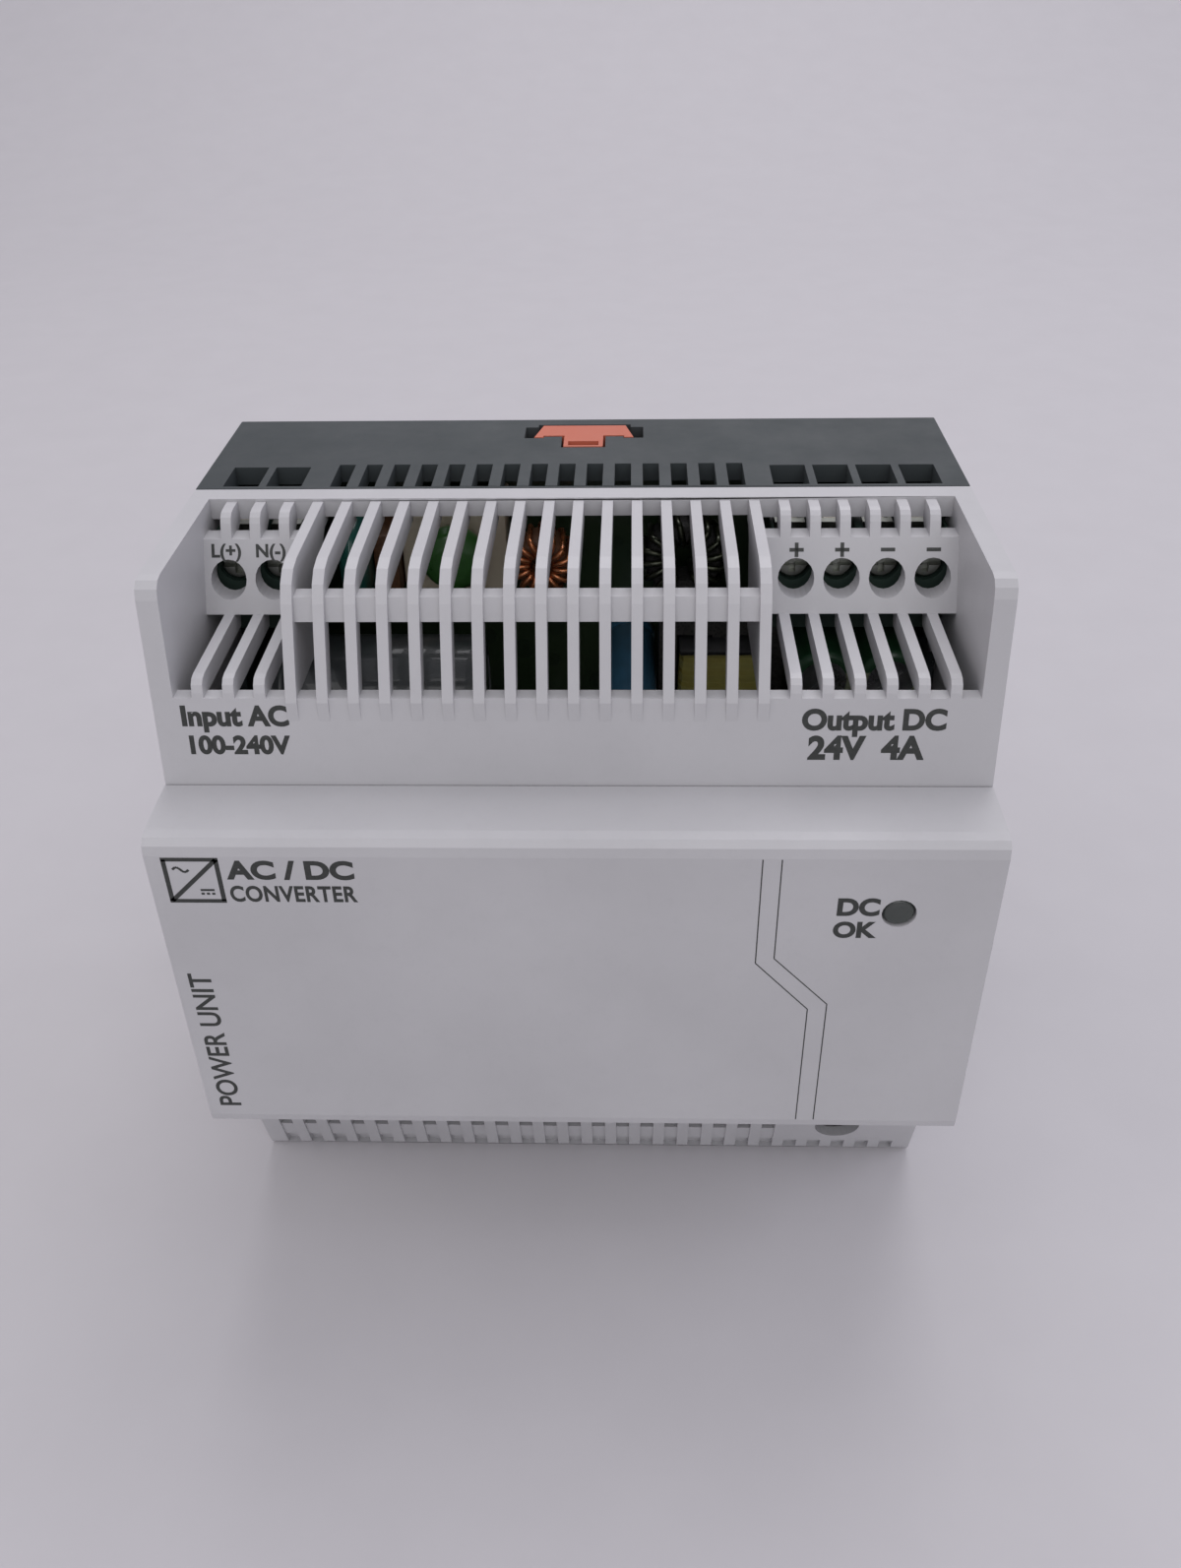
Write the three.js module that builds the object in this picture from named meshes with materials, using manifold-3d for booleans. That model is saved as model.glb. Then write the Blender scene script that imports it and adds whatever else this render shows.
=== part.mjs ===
// A DIN-rail power supply, 90 mm wide, built as the real one is assembled: a dark rear housing that sits
// on the rail, a light front housing with ventilation ribs and terminal pockets, a front cap, two snap
// feet, screw terminals and the populated circuit board inside.
//
// Millimetres. +X is right seen from the front, the front faces -Y, +Z is up. The origin is the middle of
// the base of the bounding box.

import * as THREE from "three";
import { mergeVertices } from "three/addons/utils/BufferGeometryUtils.js";
import Module from "manifold-3d";

const wasm = await Module();
wasm.setup();

// ---------------------------------------------------------------- driving dimensions

const WIDTH = 90;
const HEIGHT = 90;
const DEPTH = 61;
const REAR_Y = DEPTH / 2;
const FRONT_Y = -DEPTH / 2;
const HALF_WIDTH = WIDTH / 2;
const MID_Z = HEIGHT / 2;

const GAP = 0.3; // clearance where two pieces meet
const OVER = 1; // how far a cutting tool runs past the face it cuts

const WALL = 2.2; // top, bottom and rear walls
const SIDE_WALL = 2.33;
const INNER_HALF_WIDTH = HALF_WIDTH - SIDE_WALL;

// Side profile: rear housing, straight top, knee, leaning shoulder, cap, and a lower shoulder that leans
// back further than the upper one.
const PARTING_Y = 7.2;
const SEAM = 0.2; // joint line between two housings
const KNEE_Y = -16.9;
const KNEE_ROUND = 2;
const LOWER_KNEE_Y = -13.8;
const LOWER_KNEE_ROUND = 1;
const CAP_JOINT_Y = -20.6;
const CAP_TOP_Z = 67.4;
const CAP_BOTTOM_Z = 23;
const SHOULDER_WALL = 1.6; // wall of a leaning shoulder, along Y
const shoulderY = (z) => KNEE_Y + ((HEIGHT - z) * (CAP_JOINT_Y - KNEE_Y)) / (HEIGHT - CAP_TOP_Z);
const lowerShoulderY = (z) => LOWER_KNEE_Y + (z * (CAP_JOINT_Y - LOWER_KNEE_Y)) / CAP_BOTTOM_Z;

// Standard 35 mm top-hat rail.
const RAIL_SEAT_Y = 24.5;
const RAIL_SLOT_HEIGHT = 35.4;
const RAIL_TOP_Z = MID_Z + RAIL_SLOT_HEIGHT / 2;
const RAIL_BOTTOM_Z = MID_Z - RAIL_SLOT_HEIGHT / 2;

// Ventilation grid: every slot and rib of the front housing stands on one pitch.
const GRID_PITCH = 10 / 3;
const GRID_COUNT = 26;
const GRID_FIRST_X = -((GRID_COUNT - 1) * GRID_PITCH) / 2;
const RIB_WIDTH = 1.2;
const SLOT_WIDTH = GRID_PITCH - RIB_WIDTH;
const BLOCK_FIRST_SLOT = 4;
const BLOCK_LAST_SLOT = 18;
const BAND_FRONT_Y = 4.4; // front edge of the plain strip along the top
const LIP_Z = 77.4; // upper edge of the shoulder, below the front slots
const LEDGE_Z = 79.45; // tops of the ledge ribs in the terminal pockets
const RIB_TOP_Z = 89.7;

// Screw terminals.
const POLE_PITCH = 5.1;
const OUTER_POLE_X = 39.9;
const INPUT_POLES_X = [0, 1].map((i) => i * POLE_PITCH - OUTER_POLE_X);
const OUTPUT_POLES_X = [3, 2, 1, 0].map((i) => OUTER_POLE_X - i * POLE_PITCH);
const SCREW_Z = 83;
const CAGE_TRAVEL = 2.5;

// Circuit board.
const BOARD_FRONT_Y = 18.9;
const BOARD_THICKNESS = 1.6;
const BOARD = { halfWidth: 41.6, z: [3.6, 86.4], holeRadius: 1.6, holeX: 38.5, holeZ: [6.5, 71] };
const SHEET = { halfWidth: 40.5, y: [20.85, 21.15], z: [26, 64] };
const BOARD_SEAT_Y = BOARD_FRONT_Y - GAP; // rear face of the parts mounted on the board

const STATUS_LED = { x: 34.5, z: 57.8 };
const TRIM_POT = { x: 34.3, z: 7.2 };

// Facets of round shapes.
const ROUND_FINE = 20;
const ROUND = 16;
const ROUND_COARSE = 10;
const CORNER_STEPS = 3;

// ---------------------------------------------------------------- materials

const surface = (color, roughness, metalness) =>
  new THREE.MeshStandardMaterial({ color, roughness, metalness });
const plastic = (color, roughness = 0.6) => surface(color, roughness, 0);
const metal = (color, roughness = 0.35) => surface(color, roughness, 1);

const LIGHT_GREY_PLASTIC = plastic(0xbdbdc0, 0.55);
const DARK_GREY_PLASTIC = plastic(0x4b4f54, 0.6);
const ORANGE_PLASTIC = plastic(0xd9674a, 0.5);
const TERMINAL_PLASTIC = plastic(0x2c3a34, 0.6);
const CLEAR_PLASTIC = plastic(0x5d655f, 0.15);
const LAMINATE = plastic(0x1f4a2c, 0.45);
const INSULATION_FILM = plastic(0x20221f, 0.4);
const BLACK_EPOXY = plastic(0x17181a, 0.5);
const FERRITE = plastic(0x24231f, 0.7);
const YELLOW_TAPE = plastic(0xb9a634, 0.4);
const COPPER_ENAMEL = metal(0xa8542a, 0.4);
const GREEN_ENAMEL = metal(0x3f5a3a, 0.45);
const NICKEL = metal(0xb9bbb6, 0.3);
const TINNED_COPPER = metal(0xb5aa92, 0.35);
const ALUMINIUM = metal(0x9da1a4, 0.45);
const GREY_SLEEVE = plastic(0x444a4c, 0.35);
const BLUE_SLEEVE = plastic(0x2f5a78, 0.35);
const GREEN_SLEEVE = plastic(0x2e5a34, 0.35);
const BROWN_EPOXY = plastic(0x5a3d28, 0.5);
const BEIGE_BOX = plastic(0xb3a78c, 0.55);
const TEAL_LACQUER = plastic(0x2f6f62, 0.4);
const GREEN_LACQUER = plastic(0x2f5f2b, 0.45);
const CERAMIC = plastic(0xc9c4b4, 0.5);
const BLUE_LACQUER = plastic(0x2b5c96, 0.4);

// ---------------------------------------------------------------- solids

function solidOf(geometry) {
  const bare = geometry.clone();
  bare.deleteAttribute("normal");
  bare.deleteAttribute("uv");
  const merged = mergeVertices(bare);
  return new wasm.Manifold(
    new wasm.Mesh({
      numProp: 3,
      vertProperties: merged.attributes.position.array,
      triVerts: new Uint32Array(merged.index.array),
    }),
  );
}

function geometryOf(solid) {
  const { vertProperties, triVerts } = solid.getMesh();
  const geometry = new THREE.BufferGeometry();
  geometry.setAttribute("position", new THREE.BufferAttribute(vertProperties, 3));
  geometry.setIndex(new THREE.BufferAttribute(triVerts, 1));
  geometry.computeVertexNormals();
  return geometry;
}

const join = (first, ...rest) => rest.reduce((whole, piece) => whole.add(piece), first);
const cut = (first, ...tools) => tools.reduce((whole, tool) => whole.subtract(tool), first);

// A box between two values on each axis.
function box([x0, x1], [y0, y1], [z0, z1]) {
  const geometry = new THREE.BoxGeometry(x1 - x0, y1 - y0, z1 - z0);
  return solidOf(geometry.translate((x0 + x1) / 2, (y0 + y1) / 2, (z0 + z1) / 2));
}

// A closed outline of [a, b, setback] corners; a corner with a setback is rounded that far from its point.
function outline(corners) {
  const shape = new THREE.Shape();
  corners.forEach(([a, b, setback = 0], i) => {
    const corner = new THREE.Vector2(a, b);
    const towards = (step) => {
      const [na, nb] = corners[(i + step + corners.length) % corners.length];
      return new THREE.Vector2(na, nb).sub(corner).setLength(setback).add(corner);
    };
    const start = setback ? towards(-1) : corner;
    if (i === 0) shape.moveTo(start.x, start.y);
    else shape.lineTo(start.x, start.y);
    if (setback) {
      const end = towards(1);
      shape.quadraticCurveTo(a, b, end.x, end.y);
    }
  });
  shape.closePath();
  return shape;
}

const extrusion = (corners, depth) =>
  new THREE.ExtrudeGeometry(outline(corners), { depth, bevelEnabled: false, curveSegments: CORNER_STEPS });

const QUARTER = Math.PI / 2;
const X = new THREE.Vector3(1, 0, 0);
const Y = new THREE.Vector3(0, 1, 0);
const Z = new THREE.Vector3(0, 0, 1);
const BACKWARDS = new THREE.Vector3(0, -1, 0);

// Outlines of [y, z] corners drawn along X, of [x, z] corners along Y, and of [x, y] corners along Z.
function alongX(corners, [x0, x1]) {
  const turn = new THREE.Matrix4().makeBasis(Y, Z, X);
  return solidOf(extrusion(corners, x1 - x0).applyMatrix4(turn).translate(x0, 0, 0));
}

function alongY(corners, [y0, y1]) {
  const turn = new THREE.Matrix4().makeBasis(X, Z, BACKWARDS);
  return solidOf(extrusion(corners, y1 - y0).applyMatrix4(turn).translate(0, y1, 0));
}

const alongZ = (corners, [z0, z1]) => solidOf(extrusion(corners, z1 - z0).translate(0, 0, z0));

// A turned solid about the Y axis through x and z: [radius, y] points, running towards +Y.
function turned(points, { x = 0, z = 0, segments = ROUND } = {}) {
  const profile = points.map(([radius, y]) => new THREE.Vector2(radius, y));
  return solidOf(new THREE.LatheGeometry(profile, segments).translate(x, 0, z));
}

const rod = (radius, [y0, y1], placing) => turned([[0, y0], [radius, y0], [radius, y1], [0, y1]], placing);

// A rod with its two ends rounded off.
const roundedRod = (radius, round, [y0, y1], placing) =>
  turned(
    [
      [0, y0],
      [radius - round, y0],
      [radius, y0 + round],
      [radius, y1 - round],
      [radius - round, y1],
      [0, y1],
    ],
    placing,
  );

const slotX = (i) => GRID_FIRST_X + i * GRID_PITCH;
const slotSpan = (i, width = SLOT_WIDTH) => [slotX(i) - width / 2, slotX(i) + width / 2];
const range = (first, last) => Array.from({ length: last - first + 1 }, (_, i) => first + i);

// ---------------------------------------------------------------- rear housing and snap feet

// Opening of the foot channel in plan, wider than the foot at its ends.
const CHANNEL = {
  halfWidth: 7.5,
  throatHalfWidth: 5.9,
  legHalfWidth: 5,
  frontY: 23.8,
  legFrontY: 23.3,
  cornerY: 27.1,
  rearY: 28,
};
const CHANNEL_WALL = 1.5;

const FOOT = {
  rearHalfWidth: 5.25,
  frontHalfWidth: 6.25,
  legInner: 5.1,
  legFrontY: 23.6,
  barFrontY: 24.15,
  rearY: 27.7,
  headHeight: 3,
  lugHalfWidth: 2.45,
  lugFrontY: 20.4,
  lugThickness: 0.9,
  toolSlotHalfWidth: 1.9,
  toolSlotY: [20.8, 22.2],
  toolPocketRearY: 24.4,
  plateY: [25, 27.6],
  plateHalfWidth: 5.1,
  noseY: [25.9, 27.6],
  grip: 2.1,
};

// The channel, the lug notch and the boss around them, for the upper foot.
function footChannel() {
  const { halfWidth, throatHalfWidth, legHalfWidth, frontY, legFrontY, cornerY, rearY } = CHANNEL;
  const half = [
    [legHalfWidth, frontY],
    [legHalfWidth, legFrontY],
    [halfWidth, legFrontY],
    [halfWidth, cornerY],
    [throatHalfWidth, cornerY],
    [throatHalfWidth, rearY],
  ];
  const mirrored = half.map(([x, y]) => [-x, y]).reverse();
  const shaft = alongZ([...half, ...mirrored], [RAIL_TOP_Z - OVER, HEIGHT + OVER]);
  const notch = box(
    [-FOOT.lugHalfWidth - GAP, FOOT.lugHalfWidth + GAP],
    [FOOT.lugFrontY - GAP, frontY + OVER],
    [HEIGHT - FOOT.headHeight - GAP, HEIGHT + OVER],
  );
  return shaft.add(notch);
}

function footBoss() {
  const halfWidth = CHANNEL.halfWidth + CHANNEL_WALL;
  const frontY = CHANNEL.legFrontY - CHANNEL_WALL;
  return box([-halfWidth, halfWidth], [frontY, REAR_Y - OVER], [RAIL_TOP_Z, HEIGHT - OVER]);
}

// The middle of the rail seat lies a little deeper, so that the rail rests on two side pads.
const SEAT_RELIEF = { halfWidth: 11, depth: 0.4 };

const seatRelief = () =>
  box(
    [-SEAT_RELIEF.halfWidth, SEAT_RELIEF.halfWidth],
    [RAIL_SEAT_Y - SEAT_RELIEF.depth, RAIL_SEAT_Y + OVER],
    [RAIL_BOTTOM_Z, RAIL_TOP_Z],
  );

const turnedOver = (solid) => solid.rotate([0, 180, 0]).translate([0, 0, HEIGHT]);

const ENTRY = { halfWidth: 2.1, y: [8.1, 14] };
const REAR_SLOT = { width: 1.95, y: [7.9, 14.7] };

// Snap tongues of the rear housing reach into windows of the front housing's side walls.
const TONGUE = {
  z: [20, 66],
  halfHeight: 4,
  length: 6.2,
  thickness: 1.2,
  window: [2.2, 5],
  hookInset: 0.5,
};

function snapTongue(side, z) {
  const outer = INNER_HALF_WIDTH - GAP;
  const span = (a, b) => (side > 0 ? [a, b] : [-b, -a]);
  const heights = [z - TONGUE.halfHeight + GAP, z + TONGUE.halfHeight - GAP];
  const [hookFront, hookRear] = TONGUE.window;
  const tipY = PARTING_Y - TONGUE.length;
  const rootY = [PARTING_Y + SEAM, PARTING_Y + SEAM + OVER];
  const strip = box(span(outer - TONGUE.thickness, outer), [tipY, rootY[1]], heights);
  const root = box(span(outer - TONGUE.thickness, HALF_WIDTH - OVER), rootY, heights);
  const hook = box(
    span(outer - OVER / 2, HALF_WIDTH - TONGUE.hookInset),
    [hookFront + GAP, hookRear - GAP],
    heights,
  );
  return join(strip, root, hook);
}

function snapWindow(side, z) {
  const near = side * (INNER_HALF_WIDTH - OVER);
  const far = side * (HALF_WIDTH + OVER);
  const span = [Math.min(near, far), Math.max(near, far)];
  return box(span, TONGUE.window, [z - TONGUE.halfHeight, z + TONGUE.halfHeight]);
}

const eachSnap = (make) => [-1, 1].flatMap((side) => TONGUE.z.map((z) => make(side, z)));

function rearHousing() {
  const edge = 0.8;
  const shell = alongX(
    [
      [PARTING_Y + SEAM, 0],
      [PARTING_Y + SEAM, HEIGHT],
      [REAR_Y, HEIGHT, edge],
      [REAR_Y, RAIL_TOP_Z, edge],
      [RAIL_SEAT_Y, RAIL_TOP_Z],
      [RAIL_SEAT_Y, RAIL_BOTTOM_Z],
      [REAR_Y, RAIL_BOTTOM_Z, edge],
      [REAR_Y, 0, edge],
    ],
    [-HALF_WIDTH, HALF_WIDTH],
  );
  const hollow = alongX(
    [
      [PARTING_Y - OVER, WALL],
      [PARTING_Y - OVER, HEIGHT - WALL],
      [REAR_Y - WALL, HEIGHT - WALL],
      [REAR_Y - WALL, RAIL_TOP_Z + WALL],
      [RAIL_SEAT_Y - WALL, RAIL_TOP_Z + WALL],
      [RAIL_SEAT_Y - WALL, RAIL_BOTTOM_Z - WALL],
      [REAR_Y - WALL, RAIL_BOTTOM_Z - WALL],
      [REAR_Y - WALL, WALL],
    ],
    [-INNER_HALF_WIDTH, INNER_HALF_WIDTH],
  );
  const slots = range(BLOCK_FIRST_SLOT, BLOCK_LAST_SLOT).flatMap((i) => [
    box(slotSpan(i, REAR_SLOT.width), REAR_SLOT.y, [HEIGHT - WALL - OVER, HEIGHT + OVER]),
    box(slotSpan(i, REAR_SLOT.width), REAR_SLOT.y, [-OVER, WALL + OVER]),
  ]);
  const entries = [...INPUT_POLES_X, ...OUTPUT_POLES_X].map((x) =>
    box([x - ENTRY.halfWidth, x + ENTRY.halfWidth], ENTRY.y, [HEIGHT - WALL - OVER, HEIGHT + OVER]),
  );
  const walled = join(cut(shell, hollow), footBoss(), turnedOver(footBoss()), ...eachSnap(snapTongue));
  return cut(walled, seatRelief(), footChannel(), turnedOver(footChannel()), ...slots, ...entries);
}

// The upper foot: a head with a tool lug, a sliding plate and a nose that grips behind the rail's lip.
function snapFoot() {
  const half = [
    [FOOT.lugHalfWidth, FOOT.lugFrontY],
    [FOOT.lugHalfWidth, FOOT.barFrontY],
    [FOOT.legInner, FOOT.barFrontY],
    [FOOT.legInner, FOOT.legFrontY],
    [FOOT.frontHalfWidth, FOOT.legFrontY],
    [FOOT.rearHalfWidth, FOOT.rearY],
  ];
  const mirrored = half.map(([x, y]) => [-x, y]).reverse();
  const headBottom = HEIGHT - FOOT.headHeight;
  const head = alongZ([...half, ...mirrored], [headBottom, HEIGHT]);
  const toolSlot = box(
    [-FOOT.toolSlotHalfWidth, FOOT.toolSlotHalfWidth],
    FOOT.toolSlotY,
    [headBottom - OVER, HEIGHT + OVER],
  );
  const toolPocket = box(
    [-FOOT.toolSlotHalfWidth, FOOT.toolSlotHalfWidth],
    [FOOT.toolSlotY[0], FOOT.toolPocketRearY],
    [headBottom - OVER, HEIGHT - FOOT.lugThickness],
  );
  const noseTip = RAIL_TOP_Z - FOOT.grip;
  const plate = alongX(
    [
      [FOOT.plateY[0], headBottom + OVER],
      [FOOT.plateY[0], RAIL_TOP_Z + OVER],
      [FOOT.noseY[0], RAIL_TOP_Z + GAP],
      [FOOT.noseY[0], noseTip],
      [FOOT.noseY[0] + GAP, noseTip],
      [FOOT.noseY[1], RAIL_TOP_Z],
      [FOOT.plateY[1], headBottom + OVER],
    ],
    [-FOOT.plateHalfWidth, FOOT.plateHalfWidth],
  );
  return cut(head.add(plate), toolSlot, toolPocket);
}

// ---------------------------------------------------------------- front housing

// Profile of a terminal pocket: short top ribs, leaning panel, ledge and the wall that it stands on.
const POCKET_FOOT_Z = 75.2;
const POCKET_OVERLAP = 0.5; // how far the pocket runs into its neighbours
const POCKET_FACE = [
  [BAND_FRONT_Y + POCKET_OVERLAP, RIB_TOP_Z],
  [1.1, RIB_TOP_Z, 1.2],
  [-3.9, LEDGE_Z],
  [shoulderY(LEDGE_Z), LEDGE_Z, 1.5],
  [shoulderY(POCKET_FOOT_Z), POCKET_FOOT_Z],
];
const POCKET_BACK = [
  [shoulderY(POCKET_FOOT_Z) + SHOULDER_WALL, POCKET_FOOT_Z],
  [-17, 77.2],
  [-2.4, 77.2],
  [1.7, 86.1],
  [BAND_FRONT_Y + POCKET_OVERLAP, HEIGHT - WALL],
];
const LIP_NOTCH = { y: [-25, -17], z: [LIP_Z, LEDGE_Z + OVER] };
const POCKET_SLOT_CUTS = [
  { y: [2.25, BAND_FRONT_Y], z: [80, HEIGHT + OVER] }, // slot behind the panel's upper edge
  { y: [-2, BAND_FRONT_Y], z: [87.1, HEIGHT + OVER] }, // notch above the panel's upper edge
  { y: [-17.45, -3.9], z: [72, LEDGE_Z + OVER] }, // slot through the ledge
  { y: [-4.5, -1], z: [72, LEDGE_Z] }, // the same slot under the panel's foot
  LIP_NOTCH,
];

// Rib of the ventilation block, an L that runs over the knee and tapers into the shoulder.
const RIB_FOOT_Z = 74.6;
const RIB_PROFILE = [
  [BAND_FRONT_Y + OVER, RIB_TOP_Z],
  [-13.9, RIB_TOP_Z, 3.4],
  [-19.3, 77],
  [-19.4, RIB_FOOT_Z],
  [-18.3, RIB_FOOT_Z],
  [-17, LIP_Z],
  [-12.9, 87],
  [BAND_FRONT_Y + OVER, 87],
];

const CROSS_BAND = [
  [-12.4, 87],
  [-14.4, 87],
  [-15.2, 84.5],
  [-13.2, 84.5],
];

const SCREW_HOLE = { radius: 2.05, y: [-6, 3] };

// The lower shoulder has a row of windows, shallow grooves below them and a row of blind notches at its foot.
const LOWER_WINDOW = { width: 1.8, z: [6, 12.6], y: [-25, -11], last: 20 };
const GROOVE = { z: [2.8, 6], depth: 0.25 };
const NOTCH = { z: [0.6, 2.8], depth: 0.9 };
const TRIM_HOLE_RADIUS = 3;
const BOTTOM_SLOT_Y = [-10.4, 4.4];

const blockLeft = slotX(BLOCK_FIRST_SLOT) - GRID_PITCH / 2;
const blockRight = slotX(BLOCK_LAST_SLOT) + GRID_PITCH / 2;

function frontShell() {
  const outer = [
    [PARTING_Y, HEIGHT],
    [KNEE_Y, HEIGHT, KNEE_ROUND],
    [CAP_JOINT_Y, CAP_TOP_Z],
    [CAP_JOINT_Y, CAP_BOTTOM_Z],
    [LOWER_KNEE_Y, 0, LOWER_KNEE_ROUND],
    [PARTING_Y, 0],
  ];
  const inner = [
    [PARTING_Y + OVER, HEIGHT - WALL],
    [shoulderY(HEIGHT - WALL) + SHOULDER_WALL, HEIGHT - WALL],
    [CAP_JOINT_Y + SHOULDER_WALL, CAP_TOP_Z - WALL],
    [CAP_JOINT_Y - OVER, CAP_TOP_Z - WALL],
    [CAP_JOINT_Y - OVER, CAP_BOTTOM_Z + WALL],
    [CAP_JOINT_Y + SHOULDER_WALL, CAP_BOTTOM_Z + WALL],
    [lowerShoulderY(WALL) + SHOULDER_WALL, WALL],
    [PARTING_Y + OVER, WALL],
  ];
  const shell = alongX(outer, [-HALF_WIDTH, HALF_WIDTH]);
  return cut(shell, alongX(inner, [-INNER_HALF_WIDTH, INNER_HALF_WIDTH]));
}

// Pocket floor with its short upper slots, screwdriver holes and slotted ledge. blockSide says on which
// side of the pocket the ventilation block stands, as -1 or 1.
function terminalPocket([x0, x1], blockSide, slots, polesX) {
  const floor = alongX([...POCKET_FACE, ...POCKET_BACK], [x0 - POCKET_OVERLAP, x1 + POCKET_OVERLAP]);
  const besideBlock = blockSide > 0 ? [x1, x1 + OVER] : [x0 - OVER, x0];
  const cuts = slots.flatMap((i) => POCKET_SLOT_CUTS.map(({ y, z }) => box(slotSpan(i), y, z)));
  const holes = polesX.map((x) =>
    rod(SCREW_HOLE.radius, SCREW_HOLE.y, { x, z: SCREW_Z, segments: ROUND_FINE }),
  );
  return cut(floor, box(besideBlock, LIP_NOTCH.y, LIP_NOTCH.z), ...cuts, ...holes);
}

function ventilationBlock() {
  const ribSpan = (k) => {
    const x = blockLeft + k * GRID_PITCH;
    return [x - RIB_WIDTH / 2, x + RIB_WIDTH / 2];
  };
  const lastRib = BLOCK_LAST_SLOT - BLOCK_FIRST_SLOT + 1;
  const ribs = range(0, lastRib).map((k) => alongX(RIB_PROFILE, ribSpan(k)));
  const endWall = [...RIB_PROFILE.slice(0, 4), ...POCKET_BACK];
  const walls = [0, lastRib].map((k) => alongX(endWall, ribSpan(k)));
  return join(...ribs, ...walls, alongX(CROSS_BAND, [blockLeft, blockRight]));
}

// A cut into the face of the lower shoulder, as deep as stated and parallel to it.
function shoulderCut(span, [z0, z1], depth) {
  const corners = [
    [LOWER_WINDOW.y[0], z0],
    [lowerShoulderY(z0) + depth, z0],
    [lowerShoulderY(z1) + depth, z1],
    [LOWER_WINDOW.y[0], z1],
  ];
  return alongX(corners, span);
}

function lowerCuts() {
  const open = range(0, LOWER_WINDOW.last).flatMap((i) => {
    const span = slotSpan(i, LOWER_WINDOW.width);
    return [box(span, LOWER_WINDOW.y, LOWER_WINDOW.z), shoulderCut(span, GROOVE.z, GROOVE.depth)];
  });
  const notches = range(0, GRID_COUNT - 1).map((i) =>
    shoulderCut(slotSpan(i, LOWER_WINDOW.width), NOTCH.z, NOTCH.depth),
  );
  const floorSlots = range(BLOCK_FIRST_SLOT, BLOCK_LAST_SLOT).map((i) =>
    box(slotSpan(i), BOTTOM_SLOT_Y, [-OVER, WALL + OVER]),
  );
  const trimHole = rod(TRIM_HOLE_RADIUS, LOWER_WINDOW.y, { ...TRIM_POT, segments: ROUND_FINE });
  return [...open, ...notches, ...floorSlots, trimHole];
}

function frontHousing() {
  const leftPocket = [-INNER_HALF_WIDTH, blockLeft - RIB_WIDTH / 2];
  const rightPocket = [blockRight + RIB_WIDTH / 2, INNER_HALF_WIDTH];
  const openCorner = box([leftPocket[0], rightPocket[1]], [FRONT_Y, BAND_FRONT_Y], [LIP_Z, HEIGHT + OVER]);
  return join(
    cut(frontShell(), openCorner, ...lowerCuts(), ...eachSnap(snapWindow)),
    terminalPocket(leftPocket, 1, range(0, BLOCK_FIRST_SLOT - 1), INPUT_POLES_X),
    terminalPocket(rightPocket, -1, range(BLOCK_LAST_SLOT + 1, GRID_COUNT - 1), OUTPUT_POLES_X),
    ventilationBlock(),
  );
}

// ---------------------------------------------------------------- front cap and status light

const CAP_WALL = 2;
const CAP_ROUND = 2;
const CAP_RIM = 1.4;
const CAP_RIM_REACH = 3.2;
const LIGHT_HOLE_RADIUS = 1.85;

function frontCap() {
  const rearY = CAP_JOINT_Y - SEAM;
  const outer = alongX(
    [
      [rearY, CAP_TOP_Z],
      [FRONT_Y, CAP_TOP_Z - GAP, CAP_ROUND],
      [FRONT_Y, CAP_BOTTOM_Z + GAP, CAP_ROUND],
      [rearY, CAP_BOTTOM_Z],
    ],
    [-HALF_WIDTH, HALF_WIDTH],
  );
  const rimX = INNER_HALF_WIDTH - GAP;
  const rimZ = [CAP_BOTTOM_Z + WALL + GAP, CAP_TOP_Z - WALL - GAP];
  const rim = box([-rimX, rimX], [rearY - OVER, rearY + CAP_RIM_REACH], rimZ);
  const mouth = box(
    [CAP_RIM - rimX, rimX - CAP_RIM],
    [rearY - CAP_RIM_REACH, rearY + CAP_RIM_REACH + OVER],
    [rimZ[0] + CAP_RIM, rimZ[1] - CAP_RIM],
  );
  const chamber = box(
    [CAP_WALL - HALF_WIDTH, HALF_WIDTH - CAP_WALL],
    [FRONT_Y + CAP_WALL, rearY - CAP_WALL],
    [CAP_BOTTOM_Z + CAP_WALL, CAP_TOP_Z - CAP_WALL],
  );
  const lightHole = rod(LIGHT_HOLE_RADIUS, [FRONT_Y - OVER, FRONT_Y + CAP_WALL + OVER], {
    ...STATUS_LED,
    segments: ROUND_FINE,
  });
  return cut(outer.add(rim), chamber, mouth, lightHole);
}

function lightGuide() {
  const collarY = FRONT_Y + CAP_WALL + GAP;
  return turned(
    [
      [0, FRONT_Y + 0.1],
      [1.3, FRONT_Y + 0.1],
      [1.7, FRONT_Y + 0.4],
      [1.7, collarY],
      [2.5, collarY],
      [2.5, collarY + 1],
      [1.5, collarY + 1],
      [1.3, 12.9],
      [0, 12.9],
    ],
    { ...STATUS_LED, segments: ROUND },
  );
}

const statusLed = () =>
  turned(
    [
      [0, 13.3],
      [0.8, 13.4],
      [1.4, 14],
      [1.5, 14.8],
      [1.5, 17],
      [1.9, 17],
      [1.9, BOARD_SEAT_Y],
      [0, BOARD_SEAT_Y],
    ],
    { ...STATUS_LED, segments: ROUND_COARSE },
  );

// ---------------------------------------------------------------- screw terminals

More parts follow.
